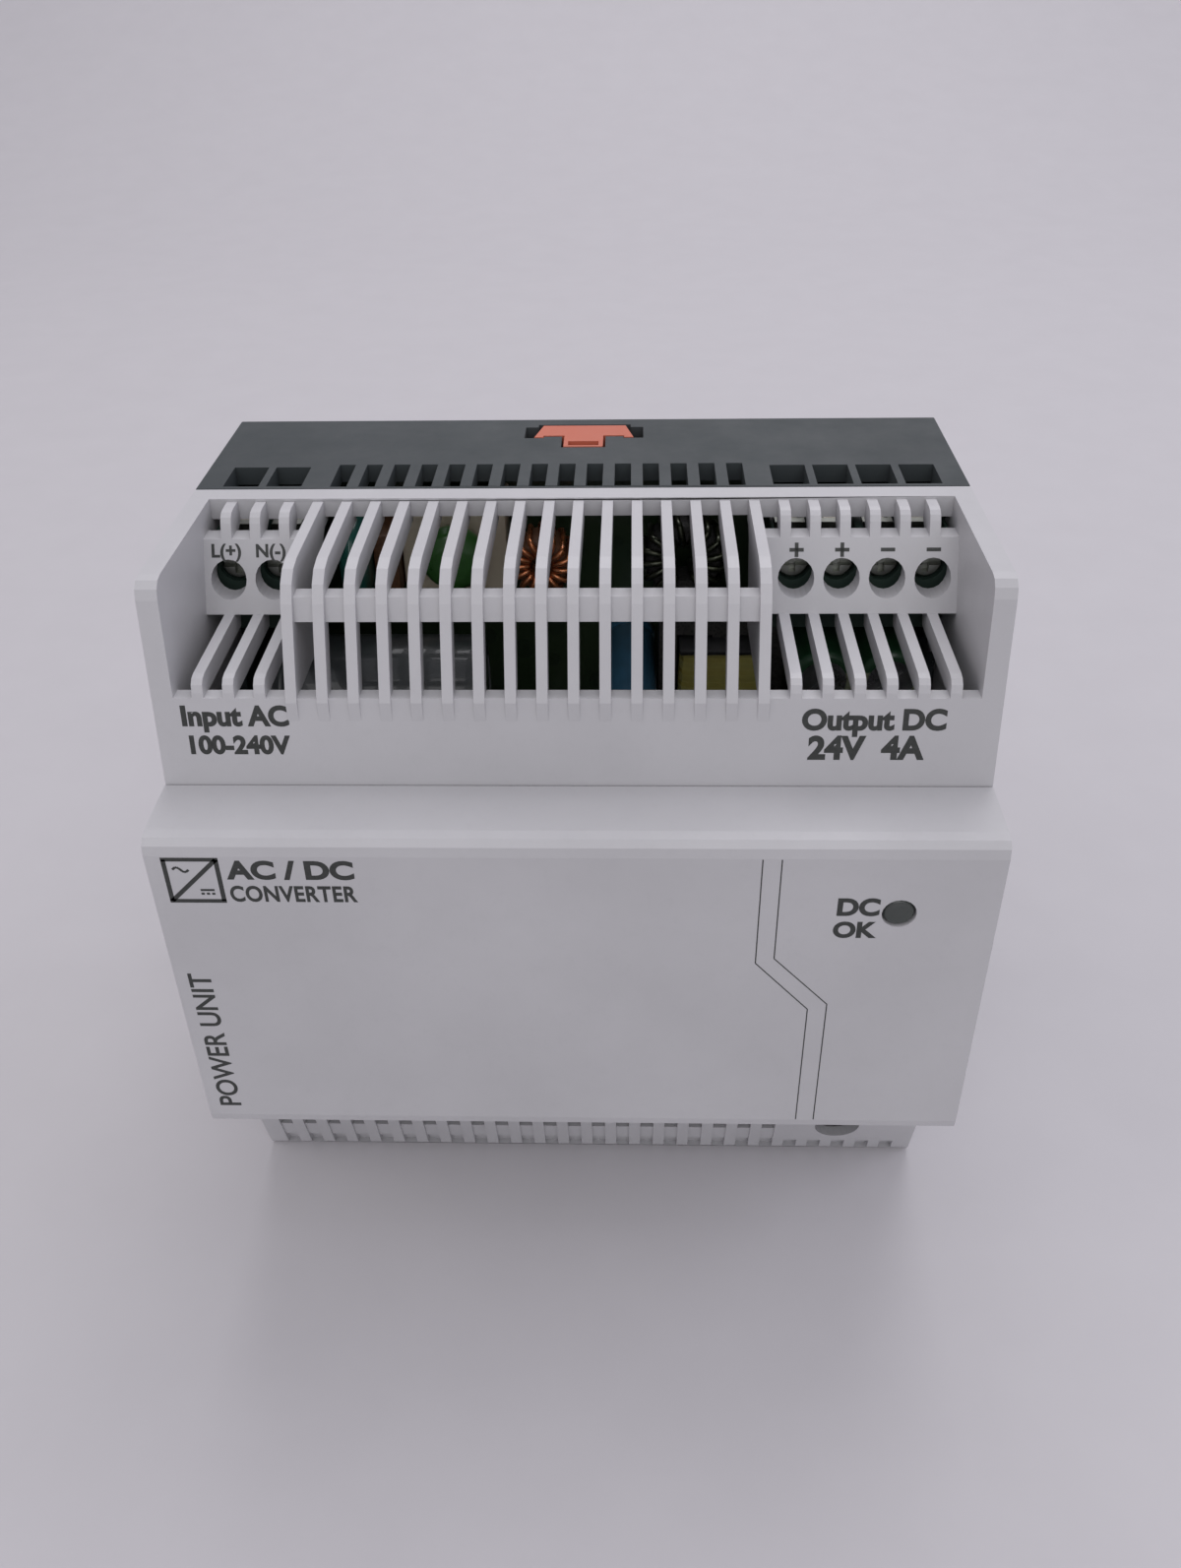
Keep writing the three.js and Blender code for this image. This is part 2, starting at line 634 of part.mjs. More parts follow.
const BLOCK_TOP_Z = 86.4;
const BLOCK_BOTTOM_Z = 74.8;
const BLOCK_SIDE = 0.35; // wall beside the outer poles
const POCKET_HALF_WIDTH = 2.1;
const CAGE = { halfWidth: 1.75, y: [6.7, 14.2], z: [78.6, 85.9], wall: 1.2, sideWall: 0.5, rearWall: 0.9 };
const SCREW = {
  headRadius: 1.85,
  headY: [1.9, 3.7],
  shankRadius: 1.2,
  tipY: 7.95,
  slot: 0.75,
  slotDepth: 0.9,
};
const THREAD_CLEARANCE = 0.2;
const BAR = { halfWidth: 1, y: [8.25, 9.05], z: [77, 85.6], tailThickness: 0.9 };
const BAR_POCKET = { frontY: 7.9, z: [76.6, 78.3] };
const SCREW_POCKET_Y = [0, 4.2];

const BLOCK_FRONT_Y = [1.6, 3.2]; // front face of a terminal block, below and above its slope
const BLOCK_SLOPE_Z = 84;

// Insulating body of a group of poles: a pocket for each cage, open upwards for the wire.
function terminalBlock(polesX) {
  const edge = POCKET_HALF_WIDTH + BLOCK_SIDE;
  const span = [polesX[0] - edge, polesX[polesX.length - 1] + edge];
  const body = alongX(
    [
      [BLOCK_FRONT_Y[0], BLOCK_BOTTOM_Z],
      [BLOCK_FRONT_Y[0], BLOCK_SLOPE_Z],
      [BLOCK_FRONT_Y[1], BLOCK_TOP_Z],
      [BOARD_SEAT_Y, BLOCK_TOP_Z],
      [BOARD_SEAT_Y, BLOCK_BOTTOM_Z],
    ],
    span,
  );
  const cuts = polesX.flatMap((x) => [
    box(
      [x - POCKET_HALF_WIDTH, x + POCKET_HALF_WIDTH],
      [CAGE.y[0] - CAGE_TRAVEL - GAP, CAGE.y[1] + GAP],
      [CAGE.z[0] - GAP, BLOCK_TOP_Z + OVER],
    ),
    box(
      [x - BAR.halfWidth - GAP, x + BAR.halfWidth + GAP],
      [BAR_POCKET.frontY, BOARD_SEAT_Y + OVER],
      BAR_POCKET.z,
    ),
    rod(SCREW.headRadius + THREAD_CLEARANCE, SCREW_POCKET_Y, { x, z: SCREW_Z, segments: ROUND }),
  ]);
  return cut(body, ...cuts);
}

// Rising cage: the screw draws it towards the front, and it lifts the wire against the contact bar.
function terminalCage() {
  const [front, rear] = CAGE.y;
  const frame = box([-CAGE.halfWidth, CAGE.halfWidth], CAGE.y, CAGE.z);
  const window = box(
    [CAGE.sideWall - CAGE.halfWidth, CAGE.halfWidth - CAGE.sideWall],
    [front + CAGE.wall, rear - CAGE.rearWall],
    [CAGE.z[0] - OVER, CAGE.z[1] + OVER],
  );
  const thread = rod(SCREW.shankRadius + THREAD_CLEARANCE, [front - OVER, front + CAGE.wall + OVER], {
    z: SCREW_Z,
    segments: ROUND_COARSE,
  });
  return cut(frame, window, thread);
}

function terminalScrew() {
  const [headFront, headRear] = SCREW.headY;
  const shape = turned(
    [
      [0, headFront],
      [SCREW.headRadius - GAP, headFront],
      [SCREW.headRadius, headFront + GAP],
      [SCREW.headRadius, headRear],
      [SCREW.shankRadius, headRear],
      [SCREW.shankRadius, SCREW.tipY - GAP],
      [SCREW.shankRadius - GAP, SCREW.tipY],
      [0, SCREW.tipY],
    ],
    { segments: ROUND },
  );
  const slot = box(
    [-SCREW.headRadius - OVER, SCREW.headRadius + OVER],
    [headFront - OVER, headFront + SCREW.slotDepth],
    [-SCREW.slot / 2, SCREW.slot / 2],
  );
  return cut(shape, slot);
}

const contactBar = () =>
  join(
    box([-BAR.halfWidth, BAR.halfWidth], BAR.y, BAR.z),
    box([-BAR.halfWidth, BAR.halfWidth], [BAR.y[0], BOARD_SEAT_Y], [BAR.z[0], BAR.z[0] + BAR.tailThickness]),
  );

// ---------------------------------------------------------------- circuit board and its parts

function circuitBoard() {
  const { halfWidth, z, holeRadius, holeX, holeZ } = BOARD;
  const rearY = BOARD_FRONT_Y + BOARD_THICKNESS;
  const places = [-holeX, holeX].flatMap((x) => holeZ.map((height) => ({ x, z: height })));
  const holes = places.map((place) =>
    rod(holeRadius, [BOARD_FRONT_Y - OVER, rearY + OVER], { ...place, segments: ROUND_COARSE }),
  );
  return cut(box([-halfWidth, halfWidth], [BOARD_FRONT_Y, rearY], z), ...holes);
}

const insulatingSheet = () => box([-SHEET.halfWidth, SHEET.halfWidth], SHEET.y, SHEET.z);

// A box part standing on the board, its front edges chamfered.
function boxedPart(width, depth, height, chamfer = 0.5) {
  const w = width / 2;
  const corners = [
    [-w, 0],
    [-w, chamfer - depth],
    [chamfer - w, -depth],
    [w - chamfer, -depth],
    [w, chamfer - depth],
    [w, 0],
  ];
  return alongZ(corners, [-height / 2, height / 2]);
}

const CAN = {
  frontRound: 0.6,
  groove: { y: [-3.2, -2.6, -2.2, -1.6], depth: 0.5 },
  seal: { y: -0.2, depth: 0.4 },
};

// A radial electrolytic capacitor standing on the board, with its rolled groove near the seal.
function radialCapacitor(radius, length, segments = ROUND) {
  const { frontRound, groove, seal } = CAN;
  return turned(
    [
      [0, -length],
      [radius - frontRound, -length],
      [radius, frontRound - length],
      [radius, groove.y[0]],
      [radius - groove.depth, groove.y[1]],
      [radius - groove.depth, groove.y[2]],
      [radius, groove.y[3]],
      [radius, seal.y],
      [radius - seal.depth, 0],
      [0, 0],
    ],
    { segments },
  );
}

// A lacquered disc on edge, thick in the middle, with its axis along Y.
const lacqueredDisc = (radius, thickness) =>
  roundedRod(radius, thickness / 4, [-thickness / 2, thickness / 2]);

// A tube about the Y axis, reaching half its length each way.
const tube = (inner, outer, half) =>
  turned(
    [
      [inner, -half],
      [outer, -half],
      [outer, half],
      [inner, half],
      [inner, -half],
    ],
    { segments: ROUND_FINE },
  );

// Toroidal core about the Y axis, and the winding that wraps it except for a gap at the bottom.
function toroidCore({ inner, outer, length }) {
  return tube(inner, outer, length / 2);
}

function toroidWinding({ inner, outer, length, wire, gap }) {
  const half = length / 2 + GAP;
  const sleeveInner = inner - GAP;
  const sleeveOuter = outer + GAP;
  const bulge = wire / 2;
  const wound = turned(
    [
      [sleeveInner - bulge, -half - bulge],
      [sleeveInner, -half - wire],
      [sleeveOuter, -half - wire],
      [sleeveOuter + wire, -half],
      [sleeveOuter + wire, half],
      [sleeveOuter, half + wire],
      [sleeveInner, half + wire],
      [sleeveInner - bulge, half + bulge],
      [sleeveInner - bulge, -half - bulge],
    ],
    { segments: ROUND_FINE },
  );
  const far = 2 * outer;
  const mouth = box([-gap / 2, gap / 2], [-far, far], [-far, 0]);
  return cut(wound, tube(sleeveInner, sleeveOuter, half), mouth);
}

const TRANSFORMER = {
  width: 15.4,
  height: 27.6,
  leg: 2.2,
  middleY: -9.3,
  coreDepth: 7,
  windingDepth: 13,
  round: 1.6,
};

// Closed ferrite frame whose upright centre leg carries the winding.
function transformerCore() {
  const { width, height, leg, middleY, coreDepth } = TRANSFORMER;
  const depth = [middleY - coreDepth / 2, middleY + coreDepth / 2];
  const through = [depth[0] - OVER, depth[1] + OVER];
  const frame = box([-width / 2, width / 2], depth, [-height / 2, height / 2]);
  const window = box([leg - width / 2, width / 2 - leg], through, [leg - height / 2, height / 2 - leg]);
  const centre = box([-leg / 2, leg / 2], depth, [OVER - height / 2, height / 2 - OVER]);
  return join(cut(frame, window), centre);
}

function transformerWinding() {
  const { width, height, leg, middleY, coreDepth, windingDepth, round } = TRANSFORMER;
  const half = width / 2 - leg - GAP;
  const front = middleY - windingDepth / 2;
  const rear = middleY + windingDepth / 2;
  const reach = height / 2 - leg - GAP;
  const coil = alongZ(
    [
      [-half, front, round],
      [half, front, round],
      [half, rear, round],
      [-half, rear, round],
    ],
    [-reach, reach],
  );
  const bore = box(
    [-leg / 2 - GAP, leg / 2 + GAP],
    [middleY - coreDepth / 2 - GAP, middleY + coreDepth / 2 + GAP],
    [-reach - OVER, reach + OVER],
  );
  return cut(coil, bore);
}

const PACKAGE = {
  body: { x: [0, 4.4], y: [-9.2, -0.2], z: [-5, 5] },
  tab: { x: [0, 1.3], y: [-15.8, -9] },
  leads: { x: [1.9, 2.5], y: [-1, 4.6], pitch: 2.54, width: 0.8 },
  hole: { radius: 1.8, length: 6, y: -12.6 },
};

// A power semiconductor in a flat package: epoxy body and a drilled metal tab, thin along X.
function powerPackage() {
  const { body, tab, leads, hole } = PACKAGE;
  const pins = [-leads.pitch, 0, leads.pitch].map((z) =>
    box(leads.x, leads.y, [z - leads.width / 2, z + leads.width / 2]),
  );
  const bore = new THREE.CylinderGeometry(hole.radius, hole.radius, hole.length, ROUND_COARSE);
  const whole = join(box(body.x, body.y, body.z), box(tab.x, tab.y, body.z), ...pins);
  return cut(whole, solidOf(bore.rotateZ(QUARTER).translate(0, hole.y, 0)));
}

const HEATSINK_THICKNESS = 1.8;

// Heatsink plate standing on the board, folded at its front edge.
function heatsink(length, depth, flange) {
  const foldY = HEATSINK_THICKNESS - depth;
  return alongZ(
    [
      [0, 0],
      [0, -depth],
      [-flange, -depth],
      [-flange, foldY],
      [-HEATSINK_THICKNESS, foldY],
      [-HEATSINK_THICKNESS, 0],
    ],
    [-length / 2, length / 2],
  );
}

const CHIP = { y: [-3.6, -0.8], pinTopY: -2.4, pinWidth: 0.8, pinReach: 1.2 };

// A chip with two pins along each side.
function dualInLine(length, width) {
  const body = box([-length / 2, length / 2], CHIP.y, [-width / 2, width / 2]);
  const pins = [-1, 1].flatMap((side) =>
    [-length / 4, length / 4].map((x) => {
      const z = (side * (width + CHIP.pinWidth)) / 2;
      const across = [x - CHIP.pinWidth / 2, x + CHIP.pinWidth / 2];
      return box(across, [CHIP.pinTopY, 0], [z - CHIP.pinReach / 2, z + CHIP.pinReach / 2]);
    }),
  );
  return join(body, ...pins);
}

const FUSE_CAP = { length: 5, step: 0.3 };

// A ceramic fuse along the Y axis, its metal caps a little wider than the body.
function cartridgeFuse(radius, length) {
  const half = length / 2;
  const { length: cap, step } = FUSE_CAP;
  return turned([
    [0, -half],
    [radius - step, -half],
    [radius, step - half],
    [radius, cap - half],
    [radius - step, cap - half],
    [radius - step, half - cap],
    [radius, half - cap],
    [radius, half - step],
    [radius - step, half],
    [0, half],
  ]);
}

const TRIMMER = {
  width: 6.8,
  depth: 5.6,
  well: { radius: 2.7, y: [-6, -4.3] },
  knob: { radius: 2.4, round: 0.3, y: [-6.4, -4.6] },
  slot: { halfLength: 1.8, halfWidth: 0.4, y: [-7, -5.6] },
};

const trimPotBody = () =>
  cut(boxedPart(TRIMMER.width, TRIMMER.depth, TRIMMER.width), rod(TRIMMER.well.radius, TRIMMER.well.y));

function trimPotRotor() {
  const { knob, slot } = TRIMMER;
  const along = [-slot.halfLength, slot.halfLength];
  const across = [-slot.halfWidth, slot.halfWidth];
  const turnedKnob = roundedRod(knob.radius, knob.round, knob.y);
  return cut(turnedKnob, box(along, slot.y, across), box(across, slot.y, along));
}

// ---------------------------------------------------------------- assembly

const powerSupply = new THREE.Group();

function add(name, solid, material, place = {}, parent = powerSupply) {
  const { x = 0, y = 0, z = 0, turn = [0, 0, 0] } = place;
  const mesh = new THREE.Mesh(geometryOf(solid), material);
  mesh.name = name;
  mesh.position.set(x, y, z);
  mesh.rotation.set(...turn);
  parent.add(mesh);
}

add("rear_housing", rearHousing(), DARK_GREY_PLASTIC);
add("front_housing", frontHousing(), LIGHT_GREY_PLASTIC);
add("front_cap", frontCap(), LIGHT_GREY_PLASTIC);
add("upper_snap_foot", snapFoot(), ORANGE_PLASTIC);
add("lower_snap_foot", snapFoot(), ORANGE_PLASTIC, { z: HEIGHT, turn: [0, Math.PI, 0] });
add("light_guide", lightGuide(), CLEAR_PLASTIC);
add("status_led", statusLed(), GREEN_SLEEVE);
add("circuit_board", circuitBoard(), LAMINATE);
add("insulating_sheet", insulatingSheet(), INSULATION_FILM);

add("input_terminal_block", terminalBlock(INPUT_POLES_X), TERMINAL_PLASTIC);
add("output_terminal_block", terminalBlock(OUTPUT_POLES_X), TERMINAL_PLASTIC);
[...INPUT_POLES_X, ...OUTPUT_POLES_X].forEach((x, i) => {
  const pole = new THREE.Group();
  pole.position.set(x, 0, 0);
  add(`terminal_screw_${i + 1}`, terminalScrew(), NICKEL, { z: SCREW_Z }, pole);
  add(`terminal_cage_${i + 1}`, terminalCage(), NICKEL, {}, pole);
  add(`contact_bar_${i + 1}`, contactBar(), TINNED_COPPER, {}, pole);
  powerSupply.add(pole);
});

// Everything below stands on the front of the circuit board, at x and z, with y towards the front.
const board = new THREE.Group();
board.position.set(0, BOARD_SEAT_Y, 0);
powerSupply.add(board);
const mount = (name, solid, material, x, z, more = {}) =>
  add(name, solid, material, { x, z, ...more }, board);

const LYING = [0, 0, QUARTER]; // an axis along Y laid along X

mount("varistor", lacqueredDisc(5.4, 3.6), TEAL_LACQUER, -27.4, 80.2, { y: -9, turn: LYING });
mount("film_capacitor", boxedPart(3, 9, 8), BROWN_EPOXY, -24, 79);
mount("suppression_capacitor", boxedPart(13, 6.6, 11.4), BEIGE_BOX, -15.8, 80.4);
mount("inrush_limiter", lacqueredDisc(4.1, 4), GREEN_LACQUER, -15.6, 80.3, { y: -9.4 });

const FILTER_TOROID = { inner: 1.9, outer: 3.2, length: 5, wire: 0.6, gap: 1.4 };
mount("filter_choke_core", toroidCore(FILTER_TOROID), FERRITE, -4.8, 80, { y: -9 });
mount("filter_choke_winding", toroidWinding(FILTER_TOROID), COPPER_ENAMEL, -4.8, 80, { y: -9 });

const OUTPUT_TOROID = { inner: 2.6, outer: 4.6, length: 4.4, wire: 0.9, gap: 1.8 };
mount("output_choke_core", toroidCore(OUTPUT_TOROID), FERRITE, 12.4, 79.6, { y: -7 });
mount("output_choke_winding", toroidWinding(OUTPUT_TOROID), GREEN_ENAMEL, 12.4, 79.6, { y: -7 });

mount("bulk_capacitor", radialCapacitor(8, 26, ROUND_FINE), GREY_SLEEVE, -38, 64.8, { y: -17, turn: LYING });
mount("input_fuse", cartridgeFuse(2.6, 20), CERAMIC, -29, 51, { y: -4.2, turn: LYING });
mount("bridge_rectifier", boxedPart(20, 4, 14), BLACK_EPOXY, -28, 39);
mount("auxiliary_capacitor", radialCapacitor(3.4, 21), BLUE_SLEEVE, 5.8, 64.6);
mount("transformer_core", transformerCore(), FERRITE, 17.2, 59.8);
mount("transformer_winding", transformerWinding(), YELLOW_TAPE, 17.2, 59.8);

[
  [28.9, 69],
  [36.9, 69],
  [28.9, 47.6],
].forEach(([x, z], i) => mount(`output_capacitor_${i + 1}`, radialCapacitor(3.9, 20), GREEN_SLEEVE, x, z));

const LINE_TOROID = { inner: 4.6, outer: 8.2, length: 7, wire: 1.3, gap: 3.2 };
mount("line_choke_core", toroidCore(LINE_TOROID), FERRITE, -28, 17.5, { y: -6.2 });
mount("line_choke_winding", toroidWinding(LINE_TOROID), COPPER_ENAMEL, -28, 17.5, { y: -6.2 });

mount("primary_heatsink", heatsink(34, 24, 9), ALUMINIUM, -4, 32);
mount("primary_transistor", powerPackage(), BLACK_EPOXY, -3.7, 34, { y: -5 });
mount("secondary_heatsink", heatsink(30, 24, 9), ALUMINIUM, 20, 26);
mount("output_rectifier", powerPackage(), BLACK_EPOXY, 20.3, 26, { y: -5 });
mount("safety_capacitor", lacqueredDisc(3.8, 3.4), BLUE_LACQUER, 6.5, 43, { y: -5.4 });
mount("optocoupler", dualInLine(4.6, 6.4), BLACK_EPOXY, 7, 30);
mount("control_ic", dualInLine(9.6, 6.4), BLACK_EPOXY, 7, 14);
mount("trim_potentiometer_body", trimPotBody(), BLUE_LACQUER, TRIM_POT.x, TRIM_POT.z);
mount("trim_potentiometer_rotor", trimPotRotor(), CERAMIC, TRIM_POT.x, TRIM_POT.z);

export default powerSupply;
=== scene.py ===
import math

import bmesh
import bpy
from mathutils import Matrix, Vector


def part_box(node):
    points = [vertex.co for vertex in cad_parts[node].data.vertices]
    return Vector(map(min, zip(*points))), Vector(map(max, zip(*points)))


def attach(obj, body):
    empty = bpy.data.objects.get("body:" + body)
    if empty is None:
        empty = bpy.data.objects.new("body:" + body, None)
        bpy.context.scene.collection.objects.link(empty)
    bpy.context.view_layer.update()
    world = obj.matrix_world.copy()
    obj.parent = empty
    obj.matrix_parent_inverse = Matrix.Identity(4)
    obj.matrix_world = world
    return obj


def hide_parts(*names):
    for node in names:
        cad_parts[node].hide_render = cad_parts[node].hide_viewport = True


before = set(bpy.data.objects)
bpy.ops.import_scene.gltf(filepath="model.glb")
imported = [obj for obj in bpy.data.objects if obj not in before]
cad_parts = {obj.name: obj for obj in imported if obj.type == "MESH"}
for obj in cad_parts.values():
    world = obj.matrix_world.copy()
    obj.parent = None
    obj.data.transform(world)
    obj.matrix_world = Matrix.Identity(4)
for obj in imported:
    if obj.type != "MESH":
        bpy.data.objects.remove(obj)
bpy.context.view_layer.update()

MM = 0.001
HOUSING = "housing"
AXIS_X = Vector((1, 0, 0))
AXIS_Y = Vector((0, 1, 0))
AXIS_Z = Vector((0, 0, 1))

# The shoulder and the terminal panel as lines on the side profile, from [y, z] at the top to the foot, in mm.
SHOULDER = ((-16.9, 90.0), (-20.6, 67.4))
PANEL = ((1.1, 89.7), (-3.9, 79.45))

SOFT_BELOW = 35  # edges flatter than this many degrees are shaded round
ROUND_BELOW = 60  # the same for wires and dipped parts

scene = bpy.context.scene


# ------------------------------------------------------------------ camera

def make_camera():
    """Looks down on the front from a little right of the middle."""
    place = Vector((6.1, -138.7, 150.4)) * MM
    yaw, pitch, roll = (math.radians(angle) for angle in (-2.15, 35.03, -1.10))
    forward = Vector((math.sin(yaw) * math.cos(pitch), math.cos(yaw) * math.cos(pitch), -math.sin(pitch)))
    level_right = Vector((math.cos(yaw), -math.sin(yaw), 0))
    level_up = level_right.cross(forward)
    right = math.cos(roll) * level_right + math.sin(roll) * level_up
    up = -math.sin(roll) * level_right + math.cos(roll) * level_up
    data = bpy.data.cameras.new("camera")
    data.sensor_width = 36
    data.lens = 30.52
    data.clip_start = 0.01
    camera = bpy.data.objects.new("camera", data)
    camera.matrix_world = Matrix.Translation(place) @ Matrix((right, up, -forward)).transposed().to_4x4()
    scene.collection.objects.link(camera)
    scene.camera = camera


make_camera()


# ------------------------------------------------------------------ material building

class Shader:
    """A node material under construction, with the few nodes that these surfaces share."""

    def __init__(self, name, roughness=0.5, metallic=0.0, coat=0.0, transmission=0.0, ior=1.5):
        self.material = bpy.data.materials.new(name)
        self.material.use_nodes = True
        self.tree = self.material.node_tree
        self.surface = self.tree.nodes["Principled BSDF"]
        self.coordinates = self.tree.nodes.new("ShaderNodeTexCoord").outputs["Object"]
        self.surface.inputs["Roughness"].default_value = roughness
        self.surface.inputs["Metallic"].default_value = metallic
        self.surface.inputs["Coat Weight"].default_value = coat
        self.surface.inputs["Transmission Weight"].default_value = transmission
        self.surface.inputs["IOR"].default_value = ior

    def link(self, source, target):
        self.tree.links.new(source, target)

    def stretched(self, scale):
        node = self.tree.nodes.new("ShaderNodeMapping")
        node.inputs["Scale"].default_value = scale
        self.link(self.coordinates, node.inputs["Vector"])
        return node.outputs["Vector"]

    def noise(self, scale, detail=3.0, roughness=0.5, vector=None):
        node = self.tree.nodes.new("ShaderNodeTexNoise")
        node.inputs["Scale"].default_value = scale
        node.inputs["Detail"].default_value = detail
        node.inputs["Roughness"].default_value = roughness
        self.link(vector or self.coordinates, node.inputs["Vector"])
        return node.outputs["Fac"]

    def cells(self, scale):
        node = self.tree.nodes.new("ShaderNodeTexVoronoi")
        node.inputs["Scale"].default_value = scale
        self.link(self.coordinates, node.inputs["Vector"])
        return node.outputs["Distance"]

    def bands(self, scale, direction, distortion):
        node = self.tree.nodes.new("ShaderNodeTexWave")
        node.bands_direction = direction
        node.inputs["Scale"].default_value = scale
        node.inputs["Distortion"].default_value = distortion
        self.link(self.coordinates, node.inputs["Vector"])
        return node.outputs["Fac"]

    def ramp(self, value, *stops):
        node = self.tree.nodes.new("ShaderNodeValToRGB")
        elements = node.color_ramp.elements
        while len(elements) < len(stops):
            elements.new(0.5)
        for element, (place, color) in zip(elements, stops):
            element.position = place
            element.color = (*color, 1)
        self.link(value, node.inputs["Fac"])
        return node.outputs["Color"]

    def levels(self, value, low, high, start=0.0, end=1.0):
        node = self.tree.nodes.new("ShaderNodeMapRange")
        node.inputs["From Min"].default_value = start
        node.inputs["From Max"].default_value = end
        node.inputs["To Min"].default_value = low
        node.inputs["To Max"].default_value = high
        self.link(value, node.inputs["Value"])
        return node.outputs["Result"]

    def blend(self, first, second, factor):
        node = self.tree.nodes.new("ShaderNodeMixRGB")
        for socket, value in zip(("Color1", "Color2", "Fac"), (first, second, factor)):
            if isinstance(value, bpy.types.NodeSocket):
                self.link(value, node.inputs[socket])
            elif socket == "Fac":
                node.inputs[socket].default_value = value
            else:
                node.inputs[socket].default_value = (*value, 1)
        return node.outputs["Color"]

    def split(self):
        node = self.tree.nodes.new("ShaderNodeSeparateXYZ")
        self.link(self.coordinates, node.inputs["Vector"])
        return node.outputs

    def compare(self, value, operation, limit):
        node = self.tree.nodes.new("ShaderNodeMath")
        node.operation = operation
        node.inputs[1].default_value = limit
        self.link(value, node.inputs[0])
        return node.outputs["Value"]

    def color(self, source):
        self.link(source, self.surface.inputs["Base Color"])

    def roughness(self, source):
        self.link(source, self.surface.inputs["Roughness"])

    def bump(self, height, distance, strength=1.0, under=None):
        node = self.tree.nodes.new("ShaderNodeBump")
        node.inputs["Distance"].default_value = distance
        node.inputs["Strength"].default_value = strength
        self.link(height, node.inputs["Height"])
        if under:
            self.link(under, node.inputs["Normal"])
        self.link(node.outputs["Normal"], self.surface.inputs["Normal"])
        return node.outputs["Normal"]


def shade(color, factor):
    return tuple(min(1.0, c * factor) for c in color)


def moulded_plastic(name, color, roughness, grain=5200, depth=0.012, mottle=0.05):
    """Injection-moulded plastic: spark-eroded grain, faint flow mottling and handling haze."""
    shader = Shader(name, roughness)
    flow = shader.noise(38, 4, 0.6)
    tone = shader.ramp(flow, (0.3, shade(color, 1 - mottle)), (0.7, shade(color, 1 + mottle)))
    dust = shader.levels(shader.noise(900, 6, 0.7), 0.0, 0.10, 0.52, 0.75)
    shader.color(shader.blend(tone, shade(color, 0.72), dust))
    haze = shader.noise(120, 5, 0.65)
    shader.roughness(shader.levels(haze, roughness - 0.07, roughness + 0.09, 0.3, 0.7))
    coarse = shader.bump(shader.noise(grain / 6, 2), depth * MM, 0.35)
    shader.bump(shader.noise(grain, 3, 0.6), depth * MM, 0.5, under=coarse)
    return shader.material


def printed_ink(name, color):
    """Pad-printed ink, a little uneven and matt."""
    shader = Shader(name, 0.5)
    spots = shader.noise(2600, 4, 0.7)
    shader.color(shader.ramp(spots, (0.35, color), (0.75, shade(color, 1.8))))
    shader.roughness(shader.levels(spots, 0.42, 0.62))
    shader.bump(spots, 0.004 * MM, 0.4)
    return shader.material


def light_pipe_plastic(name, color):
    """Clear acrylic with a faint cloud in it."""
    shader = Shader(name, 0.16, coat=0.4, transmission=0.55, ior=1.49)
    cloud = shader.noise(420, 3)
    shader.color(shader.ramp(cloud, (0.3, shade(color, 0.85)), (0.7, shade(color, 1.15))))
    shader.roughness(shader.levels(cloud, 0.12, 0.24))
    return shader.material


def solder_mask(name, mask, copper, bare):
    """Laminate with green mask over copper pours, and bare strips where the tracks part."""
    shader = Shader(name, 0.32, coat=0.3)
    pours = shader.cells(210)
    tracks = shader.levels(pours, 0.0, 1.0, 0.30, 0.33)
    weave = shader.noise(3000, 2)
    board = shader.blend(mask, bare, shader.levels(weave, 0.0, 0.25, 0.4, 0.7))
    shader.color(shader.blend(board, copper, tracks))
    shader.roughness(shader.levels(weave, 0.26, 0.42))
    shader.bump(tracks, 0.035 * MM, 0.6)
    return shader.material


def lacquer(name, color, roughness=0.28):
    """Dipped resin: orange-peel surface, thicker and darker in places."""
    shader = Shader(name, roughness, coat=0.5)
    run = shader.noise(260, 4, 0.6)
    shader.color(shader.ramp(run, (0.25, shade(color, 0.78)), (0.75, shade(color, 1.18))))
    shader.roughness(shader.levels(run, roughness - 0.06, roughness + 0.1))
    shader.bump(shader.noise(700, 2), 0.05 * MM, 0.5)
    return shader.material


def sleeve(name, color, stripe, axis, edges):
    """Shrink sleeve with one lighter polarity stripe between two heights on an axis."""
    shader = Shader(name, 0.3, coat=0.35)
    side = shader.split()[axis]
    low, high = edges
    above = shader.compare(side, "GREATER_THAN", low)
    below = shader.compare(side, "LESS_THAN", high)
    both = shader.tree.nodes.new("ShaderNodeMath")
    both.operation = "MULTIPLY"
    shader.link(above, both.inputs[0])
    shader.link(below, both.inputs[1])
    creases = shader.noise(300, 5, 0.6)
    tone = shader.ramp(creases, (0.3, shade(color, 0.85)), (0.7, shade(color, 1.15)))
    shader.color(shader.blend(tone, stripe, both.outputs["Value"]))
    shader.roughness(shader.levels(creases, 0.24, 0.4))
    shader.bump(creases, 0.04 * MM, 0.4)
    return shader.material


def cast_epoxy(name, color):
    """Filled epoxy: matt, with light specks of filler."""
    shader = Shader(name, 0.5)
    speckle = shader.noise(2400, 5, 0.7)
    shader.color(shader.ramp(speckle, (0.35, shade(color, 0.8)), (0.7, shade(color, 1.5))))
    shader.roughness(shader.levels(speckle, 0.4, 0.62))
    shader.bump(speckle, 0.02 * MM, 0.5)
    return shader.material


